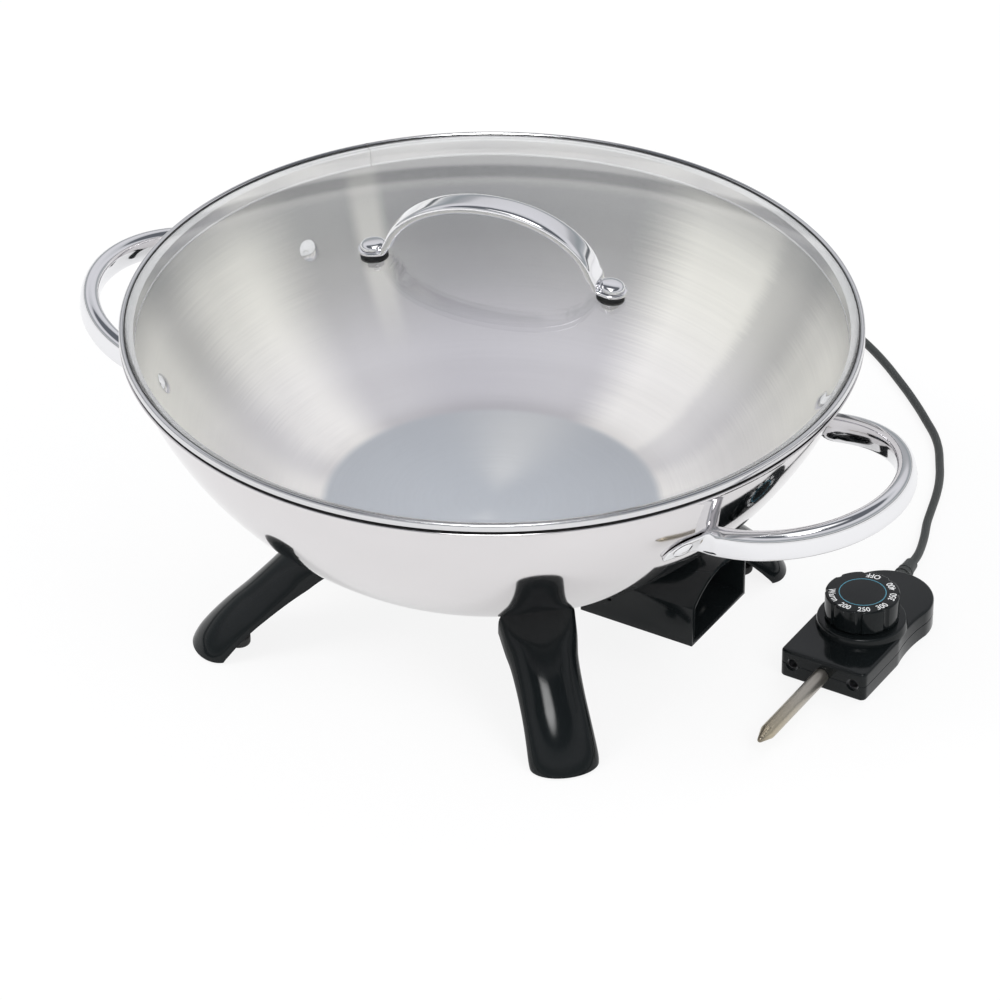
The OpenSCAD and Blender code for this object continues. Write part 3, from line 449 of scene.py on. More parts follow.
def evaluated(thing: Thing) -> bpy.types.Mesh:
    """A new mesh of an object with its modifiers applied."""
    depsgraph = bpy.context.evaluated_depsgraph_get()
    return bpy.data.meshes.new_from_object(thing.evaluated_get(depsgraph), depsgraph=depsgraph)


def shade(shape: Shape, crease: float) -> None:
    """Shades a shape smooth but for its edges that turn more than crease degrees."""
    for face in shape.faces:
        face.smooth = True
    for edge in shape.edges:
        edge.smooth = len(edge.link_faces) != 2 or edge.calc_face_angle(0.0) < math.radians(crease)


def seal(name: str, shape: Shape, *finishes: Finish, crease: float = 32.0) -> Thing:
    """Turns a shape into a finished object.

    Args:
        name: The piece's name.
        shape: The shape, freed here.
        finishes: The finishes, in order of the faces' material index.
        crease: Edges that turn more than this many degrees shade as sharp.

    Returns:
        The object.
    """
    bmesh.ops.remove_doubles(shape, verts=shape.verts, dist=MERGE)
    bmesh.ops.recalc_face_normals(shape, faces=shape.faces)
    shade(shape, crease)
    mesh = to_mesh(name, shape)
    for finish in finishes:
        mesh.materials.append(finish_material(finish))
    return add_object(name, mesh)


def mount(piece: Thing, body: str, slot: str, *nodes: str) -> None:
    """Sets a piece on its body.

    Args:
        piece: The piece.
        body: The body that it rides on.
        slot: Its material slot; not used.
        nodes: The CAD nodes that it replaces, if any.
    """
    if nodes:
        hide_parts(*nodes)
    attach(piece, body)
    LOG.info("%s rides on %s", piece.name, body)


def dress(finishes: dict[str, Finish]) -> None:
    """Gives CAD nodes a finish in place of their plain colour."""
    for node, finish in finishes.items():
        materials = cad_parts[node].data.materials
        materials.clear()
        materials.append(finish_material(finish))


def skin(rings: Sequence[Sequence[Point]], closed: bool = False,
         index: Callable[[int], int] = lambda ring: 0) -> Shape:
    """A skin through rings of points that each close on themselves.

    Args:
        rings: The rings, all of one length, in metres.
        closed: Whether the last ring joins the first; if not, both get a face.
        index: Material index of the faces that follow a ring.

    Returns:
        The shape.
    """
    shape = bmesh.new()
    made = [[shape.verts.new(point) for point in ring] for ring in rings]
    for i in range(len(made) if closed else len(made) - 1):
        lower, upper = made[i], made[(i + 1) % len(made)]
        for k in range(len(lower)):
            n = (k + 1) % len(lower)
            shape.faces.new((lower[k], lower[n], upper[n], upper[k])).material_index = index(i)
    if not closed:
        shape.faces.new(made[0][::-1])
        shape.faces.new(made[-1])
    return shape


def lathe(profile: Sequence[Pair], segments: int = 40,
          index: Callable[[int], int] = lambda ring: 0) -> Shape:
    """Spins a closed profile about the z axis.

    Args:
        profile: Radius and height in millimetres, round the section in order.
        segments: Steps round the axis.
        index: Material index of each stretch of the profile.

    Returns:
        The shape, with points on the axis merged.
    """
    turns = [2 * math.pi * k / segments for k in range(segments)]
    shape = skin([[(r * MM * math.cos(a), r * MM * math.sin(a), z * MM) for a in turns]
                  for r, z in profile], True, index)
    bmesh.ops.remove_doubles(shape, verts=shape.verts, dist=MERGE)
    bmesh.ops.dissolve_degenerate(shape, edges=shape.edges, dist=1e-8)
    return shape


def arc(centre: Pair, radius: float, start: float, end: float, steps: int) -> list[Pair]:
    """Points of an arc, with angles in degrees from straight down towards +r.

    Args:
        centre: Radius and height of the arc's centre.
        radius: The arc's radius.
        start: First angle.
        end: Last angle.
        steps: Number of steps.

    Returns:
        The points, both ends included.
    """
    angles = [math.radians(start + (end - start) * i / steps) for i in range(steps + 1)]
    return [(centre[0] + radius * math.sin(a), centre[1] - radius * math.cos(a)) for a in angles]


def rounded(profile: Sequence[Pair], radius: float, steps: int = 4) -> list[Pair]:
    """Rounds the corners of a closed profile, but for those on the axis.

    Args:
        profile: The corner points in order.
        radius: The rounding's reach along each side.
        steps: Steps to a corner.

    Returns:
        The rounded profile.
    """
    made: list[Pair] = []
    for i, corner in enumerate(profile):
        here = Vector(corner)
        if here.x < 1e-9:
            made.append(corner)
            continue
        before, after = (Vector(profile[k % len(profile)]) - here for k in (i - 1, i + 1))
        reach = min(radius, before.length * 0.45, after.length * 0.45)
        first, last = here + before.normalized() * reach, here + after.normalized() * reach
        for k in range(steps + 1):
            t = k / steps
            made.append(tuple(first * (1 - t) ** 2 + here * 2 * t * (1 - t) + last * t ** 2))
    return made


def smooth_path(points: Sequence[Sequence[float]], steps: int) -> list[list[float]]:
    """A smooth curve through rows of numbers of any length.

    Args:
        points: The rows to pass through.
        steps: Steps to each span.

    Returns:
        The rows of the curve.
    """
    made = []
    last = len(points) - 1
    for i in range(last):
        rows = [points[max(i - 1, 0)], points[i], points[i + 1], points[min(i + 2, last)]]
        for k in range(steps):
            t = k / steps
            made.append([0.5 * (2 * b + (c - a) * t + (2 * a - 5 * b + 4 * c - d) * t * t
                                + (3 * b - a - 3 * c + d) * t ** 3) for a, b, c, d in zip(*rows)])
    made.append(list(points[-1]))
    return made


def quarter(radius: float) -> list[Pair]:
    """Insets and drops of a rounded edge, from the wall to the flat."""
    turns = [math.pi / 2 * i / EDGE_STEPS for i in range(EDGE_STEPS + 1)]
    return [(radius * (1 - math.cos(a)), radius * (1 - math.sin(a))) for a in turns]


def power_of(x: float, power: float) -> float:
    """A power of a number's magnitude, with the number's sign."""
    return math.copysign(abs(x) ** power, x)


def sweep(stations: Sequence[tuple[Vector, Vector, float, float, float]], turn: Matrix) -> Shape:
    """Skins rounded sections along a path.

    Args:
        stations: Place, width axis, half width, half thickness and power of each section, in
            millimetres. The power is 2 for an ellipse and more for squarer.
        turn: A last turn of the whole.

    Returns:
        The shape.
    """
    rings = []
    for i, (place, up, half_w, half_t, power) in enumerate(stations):
        along = stations[min(i + 1, len(stations) - 1)][0] - stations[max(i - 1, 0)][0]
        across = along.normalized().cross(up).normalized()
        rings.append([turn @ ((place + up * (half_w * power_of(math.cos(a), 2 / power))
                               + across * (half_t * power_of(math.sin(a), 2 / power))) * MM)
                      for a in (2 * math.pi * k / SECTION_POINTS for k in range(SECTION_POINTS))])
    return skin(rings)


def add_lump(shape: Shape, lump: Shape, place: Matrix = Matrix.Identity(4)) -> None:
    """Moves a shape into another one, placed by a matrix, and frees it."""
    mesh = to_mesh("lump", lump)
    mesh.transform(place)
    shape.from_mesh(mesh)
    bpy.data.meshes.remove(mesh)


def copy_of(node: str, name: str, finish: Finish, bevel: float = 0.0) -> Thing:
    """A merged copy of a rigid CAD solid, its edges rounded by a bevel in metres."""
    shape = bmesh.new()
    shape.from_mesh(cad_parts[node].data)
    bmesh.ops.remove_doubles(shape, verts=shape.verts, dist=1e-6)
    bmesh.ops.dissolve_limit(shape, angle_limit=math.radians(0.6), verts=shape.verts,
                             edges=shape.edges)
    if bevel:
        sharp = [e for e in shape.edges if len(e.link_faces) == 2
                 and e.calc_face_angle(0.0) > math.radians(28)]
        bmesh.ops.bevel(shape, geom=sharp, offset=bevel, segments=3, profile=0.5,
                        affect="EDGES", clamp_overlap=True)
    return seal(name, shape, finish)


def cut_mesh(piece: Thing, tools: Sequence[tuple[str, Thing]], crease: float) -> None:
    """Joins, cuts or trims a piece with tools, which are removed.

    Args:
        piece: The piece.
        tools: Pairs of a boolean operation and its tool.
        crease: Edges that turn more than this many degrees shade as sharp.
    """
    for operation, tool in tools:
        cut = piece.modifiers.new("cut", "BOOLEAN")
        cut.operation, cut.solver, cut.object = operation, "EXACT", tool
    mesh = evaluated(piece)
    piece.modifiers.clear()
    piece.data = mesh
    for _, tool in tools:
        bpy.data.objects.remove(tool)
    shape = bmesh.new()
    shape.from_mesh(mesh)
    shade(shape, crease)
    shape.to_mesh(mesh)
    shape.free()


class Repeater:
    """One Geometry Nodes group that sets copies of a piece on the points of a carrier."""

    def __init__(self) -> None:
        """Builds the group with named inputs."""
        self.tree = bpy.data.node_groups.new("set_copies", "GeometryNodeTree")
        for name, side, kind in (("Places", "INPUT", "Geometry"), ("Piece", "INPUT", "Object"),
                                 ("Finish", "INPUT", "Material"), ("Scale", "INPUT", "Float"),
                                 ("Copies", "OUTPUT", "Geometry")):
            self.tree.interface.new_socket(name, in_out=side, socket_type=f"NodeSocket{kind}")
        source, target, info, turn, euler, scatter, realize, paint = (
            self.tree.nodes.new(kind) for kind in (
                "NodeGroupInput", "NodeGroupOutput", "GeometryNodeObjectInfo",
                "GeometryNodeInputNamedAttribute", "FunctionNodeEulerToRotation",
                "GeometryNodeInstanceOnPoints", "GeometryNodeRealizeInstances",
                "GeometryNodeSetMaterial"))
        turn.data_type = "FLOAT_VECTOR"
        turn.inputs["Name"].default_value = "turn"
        for first, out, second, into in (
                (source, "Places", scatter, "Points"), (source, "Piece", info, "Object"),
                (info, "Geometry", scatter, "Instance"), (turn, "Attribute", euler, "Euler"),
                (euler, "Rotation", scatter, "Rotation"), (source, "Scale", scatter, "Scale"),
                (scatter, "Instances", realize, "Geometry"),
                (realize, "Geometry", paint, "Geometry"), (source, "Finish", paint, "Material"),
                (paint, "Geometry", target, "Copies")):
            self.tree.links.new(first.outputs[out], second.inputs[into])

    def scatter(self, name: str, piece: Shape, places: Sequence[Matrix], finish: Finish) -> Thing:
        """Sets copies of a piece.

        Args:
            name: Name of the object that holds the copies.
            piece: One copy's shape at the origin.
            places: Where the copies go.
            finish: Their finish.

        Returns:
            One plain mesh of all the copies.
        """
        single = seal(f"{name}_single", piece, finish, crease=40.0)
        carrier = bpy.data.meshes.new(name)
        carrier.from_pydata([place.to_translation() for place in places], [], [])
        turns = carrier.attributes.new("turn", "FLOAT_VECTOR", "POINT")
        for item, place in zip(turns.data, places):
            item.vector = place.to_euler("XYZ")
        made = add_object(name, carrier)
        modifier = made.modifiers.new("copies", "NODES")
        modifier.node_group = self.tree
        wanted = {"Piece": single, "Finish": finish_material(finish), "Scale": 1.0}
        for item in self.tree.interface.items_tree:
            if item.name in wanted:
                modifier[item.identifier] = wanted[item.name]
        mesh = evaluated(made)
        made.modifiers.clear()
        made.data = mesh
        bpy.data.objects.remove(single)
        return made


# ---------------------------------------------------------------- stage

@dataclass(frozen=True)
class Studio:
    """Camera, lamps, floor and surroundings, in metres and degrees.

    Each soft box has a name, a place, a size and a power in watts. The stops of the
    surroundings run from straight down at 0 to straight up at 1.
    """

    azimuth: float = 30.7
    elevation: float = 33.54
    distance: float = 3.15
    target: Point = (0.0, 0.0, 0.064)
    lens: float = 226.8
    shift: float = 0.008
    aim: Point = (0.0, 0.0, 0.1)
    soft_boxes: tuple = (
        ("key", (-1.3, -1.5, 2.2), 1.3, 36.0), ("fill", (1.9, -0.7, 1.7), 1.2, 22.0),
        ("back", (0.3, 2.2, 1.8), 1.4, 18.0))
    soft_stops: Stops = (
        (0.0, 0.66, 0.66, 0.67), (0.50, 0.56, 0.57, 0.58), (0.56, 0.68, 0.69, 0.71),
        (0.72, 0.80, 0.80, 0.81), (1.0, 0.74, 0.75, 0.78))
    gloss_stops: Stops = (
        (0.0, 1.0, 1.0, 1.0), (0.535, 1.0, 1.0, 1.0), (0.55, 0.14, 0.15, 0.16),
        (0.57, 0.14, 0.15, 0.16), (0.585, 0.90, 0.90, 0.90), (0.61, 0.50, 0.52, 0.54),
        (0.66, 0.34, 0.37, 0.39), (0.70, 0.45, 0.46, 0.48), (0.74, 0.74, 0.74, 0.77),
        (0.81, 0.80, 0.80, 0.84), (0.86, 0.66, 0.67, 0.70), (0.885, 0.14, 0.15, 0.17),
        (0.968, 0.14, 0.15, 0.17), (0.982, 0.90, 0.90, 0.92), (1.0, 1.0, 1.0, 1.0))
    glass_stops: Stops = ((0.0, 0.92, 0.92, 0.92), (0.50, 1.0, 1.0, 1.0), (1.0, 1.0, 1.0, 1.0))
    box_way: Point = (0.19, -0.32, 0.927)
    box_glow: float = 16.0
    zenith_glow: float = 1.6
    floor_half: float = 6.0
    floor_tone: float = 0.86
    floor_glow: float = 0.86
    floor_mirrored: float = 0.58

    @staticmethod
    def stand(thing: Thing, place: Vector, way: Vector) -> None:
        """Puts a camera or lamp at a place and turns it to look along a way."""
        thing.location = place
        thing.rotation_mode = "QUATERNION"
        thing.rotation_quaternion = way.to_track_quat("-Z", "Y")

    def camera(self) -> None:
        """Places the camera at the photograph's angle."""
        data = bpy.data.cameras.new("camera")
        data.lens = self.lens
        data.sensor_width = 36.0
        data.sensor_fit = "HORIZONTAL"
        data.shift_x = self.shift
        data.clip_end = 40.0
        a, e = math.radians(self.azimuth), math.radians(self.elevation)
        back = Vector((math.sin(a) * math.cos(e), -math.cos(a) * math.cos(e), math.sin(e)))
        made = add_object("camera", data)
        self.stand(made, Vector(self.target) + back * self.distance, -back)
        bpy.context.scene.camera = made

    def lamps(self) -> None:
        """Adds the soft boxes, which only light what they reach directly."""
        for name, place, size, power in self.soft_boxes:
            lamp = bpy.data.lights.new(name, "AREA")
            lamp.size = size
            lamp.energy = power
            made = add_object(name, lamp)
            made.visible_glossy = made.visible_transmission = False
            self.stand(made, Vector(place), Vector(self.aim) - Vector(place))

    def surroundings(self) -> None:
        """Sets the world by the kind of ray.

        The camera sees a white room and the object is lit by a soft grey one. Glossy surfaces
        show one with dark flags and a soft box, and glass shows an even one behind it.
        """
        graph = Graph("room", world=True)
        way = graph.place("Generated")
        height = graph.part(way, "Z")
        soft, gloss, glass = (graph.ramp(height * 0.5 + 0.5, stops) for stops in (
            self.soft_stops, self.gloss_stops, self.glass_stops))
        facing = graph.add("ShaderNodeVectorMath", {"operation": "DOT_PRODUCT"},
                           [way, self.box_way], "Value")
        gloss = graph.mix(height.step(0.968, 0.985), gloss, (self.zenith_glow,) * 3)
        gloss = graph.mix(facing.step(0.978, 0.996), gloss, (self.box_glow,) * 3)
        colour = soft
        for kind, other in (("Glossy", gloss), ("Transmission", glass), ("Camera", WHITE)):
            colour = graph.mix(graph.ray(kind), colour, other)
        bpy.context.scene.world = graph.close(graph.add("ShaderNodeBackground", None, [colour]))

    def floor(self) -> None:
        """A white floor that keeps the object's shadow."""
        graph = Graph("floor_white")
        plain = graph.add("ShaderNodeBsdfDiffuse", None, {"Color": (*(self.floor_tone,) * 3, 1.0)})
        glow = graph.add("ShaderNodeEmission", None, {"Color": (*WHITE, 1.0), "Strength": 1.0})
        mirrored = (graph.ray("Glossy") + graph.ray("Transmission")).step(0.0, 1.0)
        share = graph.ray("Camera") * self.floor_glow + mirrored * self.floor_mirrored
        shape = bmesh.new()
        bmesh.ops.create_grid(shape, x_segments=1, y_segments=1, size=self.floor_half)
        mesh = to_mesh("floor", shape)
        mesh.materials.append(graph.close(
            graph.add("ShaderNodeMixShader", None, [share, plain, glow])))
        add_object("floor", mesh)

    def build(self) -> None:
        """Sets the whole stage and the view transform."""
        self.camera()
        self.lamps()
        self.surroundings()
        self.floor()
        bpy.context.scene.view_settings.view_transform = "Standard"


# ---------------------------------------------------------------- cord

@dataclass
class Cord:
    """The lead from the heat control: its run, its coil and its tail.

    Places are in millimetres and the diameter is in metres.
    """

    diameter: float = 0.0045
    run: list[Point] = field(default_factory=lambda: [
        (168.5, 134, 5.5), (167.3, 143, 4.7), (164.5, 153, 3.4), (160.5, 164.5, 2.6),
        (156, 176, 2.4), (152, 189, 2.3), (148, 202, 2.3), (143, 215, 2.3), (137, 227, 2.3),
        (125, 247, 2.3), (110, 263, 2.3), (93, 279, 2.3), (80, 290, 2.3), (65, 302, 2.3),
        (49, 313, 2.3), (33, 322, 2.4), (19, 328.5, 2.7), (5, 332, 3.2), (-3, 332, 3.2)])
    tail: list[Point] = field(default_factory=lambda: [
        (-13, 332, 8.4), (-18, 332, 8.4), (-30, 331, 7.4), (-41, 328, 5.8), (-52, 321, 4.4),
        (-60, 310, 4.2), (-63, 297, 5.2), (-63, 289, 6.6), (-63, 284, 7.4)])
    coil_centre: Pair = (-8.0, 302.0)
    coil_z: float = 3.2
    coil_inner: float = 20.0
    pitch: float = 5.0
    climb: float = 5.2
    turns: int = 4
    steps: int = 24

    def coil_point(self, turn: float) -> Point:
        """A point of the coil, at a count of turns from its start.

        The coil winds inwards on the table, climbs over half a turn and winds out on top.
        """
        past = turn - self.turns / 2
        t = min(max((past + 0.25) / 0.5, 0.0), 1.0)
        radius = self.coil_inner + self.pitch * abs(past)
        angle = math.radians(90 + 360 * turn)
        return (self.coil_centre[0] + radius * math.cos(angle),
                self.coil_centre[1] + radius * math.sin(angle),
                self.coil_z + self.climb * t * t * (3 - 2 * t))

    def build(self) -> None:
        """Makes the lead as one curve that stands for the three CAD stretches."""
        data = bpy.data.curves.new("lead", "CURVE")
        data.dimensions = "3D"
        data.resolution_u = 4
        data.bevel_depth = self.diameter / 2
        data.bevel_resolution = 4
        data.use_fill_caps = True
        coil = [self.coil_point(i / self.steps) for i in range(self.turns * self.steps + 1)]
        line = [Vector(p) * MM for p in [*self.run, *coil, *self.tail]]
        spline = data.splines.new("BEZIER")
        spline.bezier_points.add(len(line) - 1)
        for knot, place in zip(spline.bezier_points, line):
            knot.co = place
            knot.handle_left_type = knot.handle_right_type = "AUTO"
        data.materials.append(finish_material(Finish.CORD))
        lead = add_object("lead", data)
        mount(lead, "heat_control", "cord_black", "cord_run", "cord_coil", "cord_tail")


# ---------------------------------------------------------------- bowl

@dataclass
class Bowl:
    """The spun bowl, in millimetres: a flat, a knuckle, a long wall arc and a turned-out lip."""

    flat_r: float = 84.0
    flat_z: float = 61.5
    knuckle_r: float = 48.6
    knuckle_a: float = 37.5
    wall_arc_r: float = 199.5
    rim_z: float = 165.6
    sheet: float = 1.5
    lip_w: float = 2.6
    lip_t: float = 1.4
    lip_bend: float = 1.2
    lip_root: Pair = (0.5, 0.15)
    lip_inner: float = 0.3
    knuckle_steps: int = 14
    wall_steps: int = 30

    def __post_init__(self) -> None:
        """Works out the two arcs' centres."""
        a = math.radians(self.knuckle_a)
        self.knuckle_c: Pair = (self.flat_r, self.flat_z + self.knuckle_r)
        reach = self.knuckle_r - self.wall_arc_r
        self.wall_c: Pair = (self.knuckle_c[0] + reach * math.sin(a),
                             self.knuckle_c[1] - reach * math.cos(a))

    def wall_angle(self, z: float, radius: float) -> float:
        """Angle in degrees of the point at height z on a wall arc of that radius."""
        return math.degrees(math.acos((self.wall_c[1] - z) / radius))

    def wall_r(self, z: float) -> float:
        """Outer radius of the wall at height z."""
        return self.wall_c[0] + math.sqrt(self.wall_arc_r ** 2 - (self.wall_c[1] - z) ** 2)

    def wall_lean(self, z: float) -> float:
        """How far the wall at height z leans out from upright, in radians."""
        return math.asin((self.wall_c[1] - z) / self.wall_arc_r)

    def profile(self) -> tuple[list[Pair], int]:
        """The bowl's section, and the index where its inside starts."""
        lip_z, half, thin = self.rim_z - self.lip_t, self.lip_t / 2, self.wall_arc_r - self.sheet
        rim_r = self.wall_r(lip_z) + self.lip_w
        outside = [(0.0, self.flat_z)]
        outside += arc(self.knuckle_c, self.knuckle_r, 0, self.knuckle_a, self.knuckle_steps)
        outside += arc(self.wall_c, self.wall_arc_r, self.knuckle_a, self.wall_angle(
            lip_z - self.lip_bend, self.wall_arc_r), self.wall_steps)[1:]
        outside.append((self.wall_r(lip_z) + self.lip_root[0], lip_z - self.lip_root[1]))
        bead = arc((rim_r - half, lip_z + half), half, 0, 180, 9)
        inside = arc(self.wall_c, thin, self.wall_angle(self.rim_z - self.lip_inner, thin),
                     self.knuckle_a, self.wall_steps)
        inside += arc(self.knuckle_c, self.knuckle_r - self.sheet, self.knuckle_a, 0,
                      self.knuckle_steps)[1:]
        inside.append((0.0, self.flat_z + self.sheet))
        return outside + bead + inside, len(outside) + len(bead)

    def build(self) -> None:
        """Spins the bowl, mirror bright outside and brushed inside."""
        section, turn = self.profile()
        shape = lathe(section, TURNED_FINE, lambda ring: int(turn <= ring < len(section) - 1))
        mount(seal("bowl_shell", shape, Finish.MIRROR, Finish.INSIDE, crease=50.0),
              "wok", "polished_steel", "bowl")


@dataclass
class WokHandles:
    """The two loop handles, in millimetres and degrees.

    Each is one flattened tube whose ends fold on to the wall.
    """

    bowl: Bowl
    loop_r: float = 58.5
    loop_x: float = 164.5
    loop_z: float = 127.4
    tilt: float = 9.4
    half_h: float = 7.5
    half_t: float = 5.0
    power: float = 2.6
    leaf_t: float = 0.9
    leaf_tip: float = 9.5
    leaf_gap: float = 0.15
    leaf_corner: float = 2.0
    leaf_power: float = 4.0
    rivet_z: float = 127.5
    rivet_a: float = 26.4
    root_back: float = 4.2
    leave: float = 5.0
    arrive: float = 7.0
    fold_steps: int = 12
    loop_steps: int = 28
    bearings: Pair = (0.6, 182.3)

    def leaf(self) -> list[tuple[Vector, Vector, float, float, float]]:
        """Stations of the leaf that lies on the wall, from its tip to its root."""
        lean = self.bowl.wall_lean(self.rivet_z)
        off = self.leaf_gap + self.leaf_t
        radius = self.bowl.wall_r(self.rivet_z) + off * math.cos(lean)
        height = self.rivet_z - off * math.sin(lean)
        tip_a = self.rivet_a + math.degrees(self.leaf_tip / radius)
        half_w, corner_r = self.half_h - 0.5, self.leaf_corner
        round_r = 2 * half_w - corner_r
        made = []
        for i in range(21):
            from_tip = round_r * (i / 14) ** 2 * 0.72 + 0.02
            a = math.radians(max(self.rivet_a - self.root_back,
                                 tip_a - math.degrees(from_tip / radius)))
            up = Vector((math.sin(lean) * math.cos(a), math.sin(lean) * math.sin(a),
                         math.cos(lean)))
            short, near = max(0.0, round_r - from_tip), max(0.0, corner_r - from_tip)
            high = corner_r - half_w + math.sqrt(round_r ** 2 - short ** 2)
            low = corner_r - half_w - math.sqrt(corner_r ** 2 - near ** 2)
            spot = Vector((radius * math.cos(a), radius * math.sin(a), height))
            made.append((spot + up * (high + low) / 2, up, (high - low) / 2, self.leaf_t,
                         self.leaf_power))
            if a == math.radians(self.rivet_a - self.root_back):
                break
        return made

    def half_path(self) -> list[tuple[Vector, Vector, float, float, float]]:
        """Stations of one half, from the leaf's tip to the middle of the loop."""
        made = self.leaf()
        start, start_up = made[-1][:2]
        tilt, root_a = math.radians(self.tilt), math.radians(self.rivet_a - self.root_back)
        heading = Vector((math.sin(root_a), -math.cos(root_a), 0.0))
        out = Vector((math.cos(tilt), 0.0, math.sin(tilt)))
        loop_up = Vector((-math.sin(tilt), 0.0, math.cos(tilt)))
        centre = Vector((self.loop_x, 0.0, self.loop_z))
        finish = centre + Vector((0, self.loop_r, 0)) + out * -1.5
        c1, c2 = start + heading * self.leave, finish - out * self.arrive
        for i in range(1, self.fold_steps + 1):
            t = i / self.fold_steps
            ease = t * t * (3 - 2 * t)
            made.append((start * (1 - t) ** 3 + c1 * 3 * t * (1 - t) ** 2
                         + c2 * 3 * t * t * (1 - t) + finish * t ** 3,
                         (start_up * (1 - ease) + loop_up * ease).normalized(), self.half_h,
                         self.leaf_t + (self.half_t - self.leaf_t) * min(1.0, ease * 1.15),
                         self.leaf_power + (self.power - self.leaf_power) * ease))
        for i in range(self.loop_steps + 1):
            a = math.radians(90 - 90 * i / self.loop_steps)
            made.append((centre + out * (self.loop_r * math.cos(a))
                         + Vector((0, self.loop_r * math.sin(a), 0)),
                         loop_up, self.half_h, self.half_t, self.power))
        return made

    def build(self) -> None:
        """Sweeps both handles."""
        half = self.half_path()
        flip = Vector((1, -1, 1))
        stations = half + [(p * flip, u * flip, *rest) for p, u, *rest in reversed(half[:-1])]
        for bearing, side in zip(self.bearings, ("right", "left")):
            mount(seal(f"loop_handle_{side}", sweep(stations, turned(bearing)), Finish.HANDLE,
                       crease=60.0), "wok", "handle_steel", f"handle_{side}")


# ---------------------------------------------------------------- cover

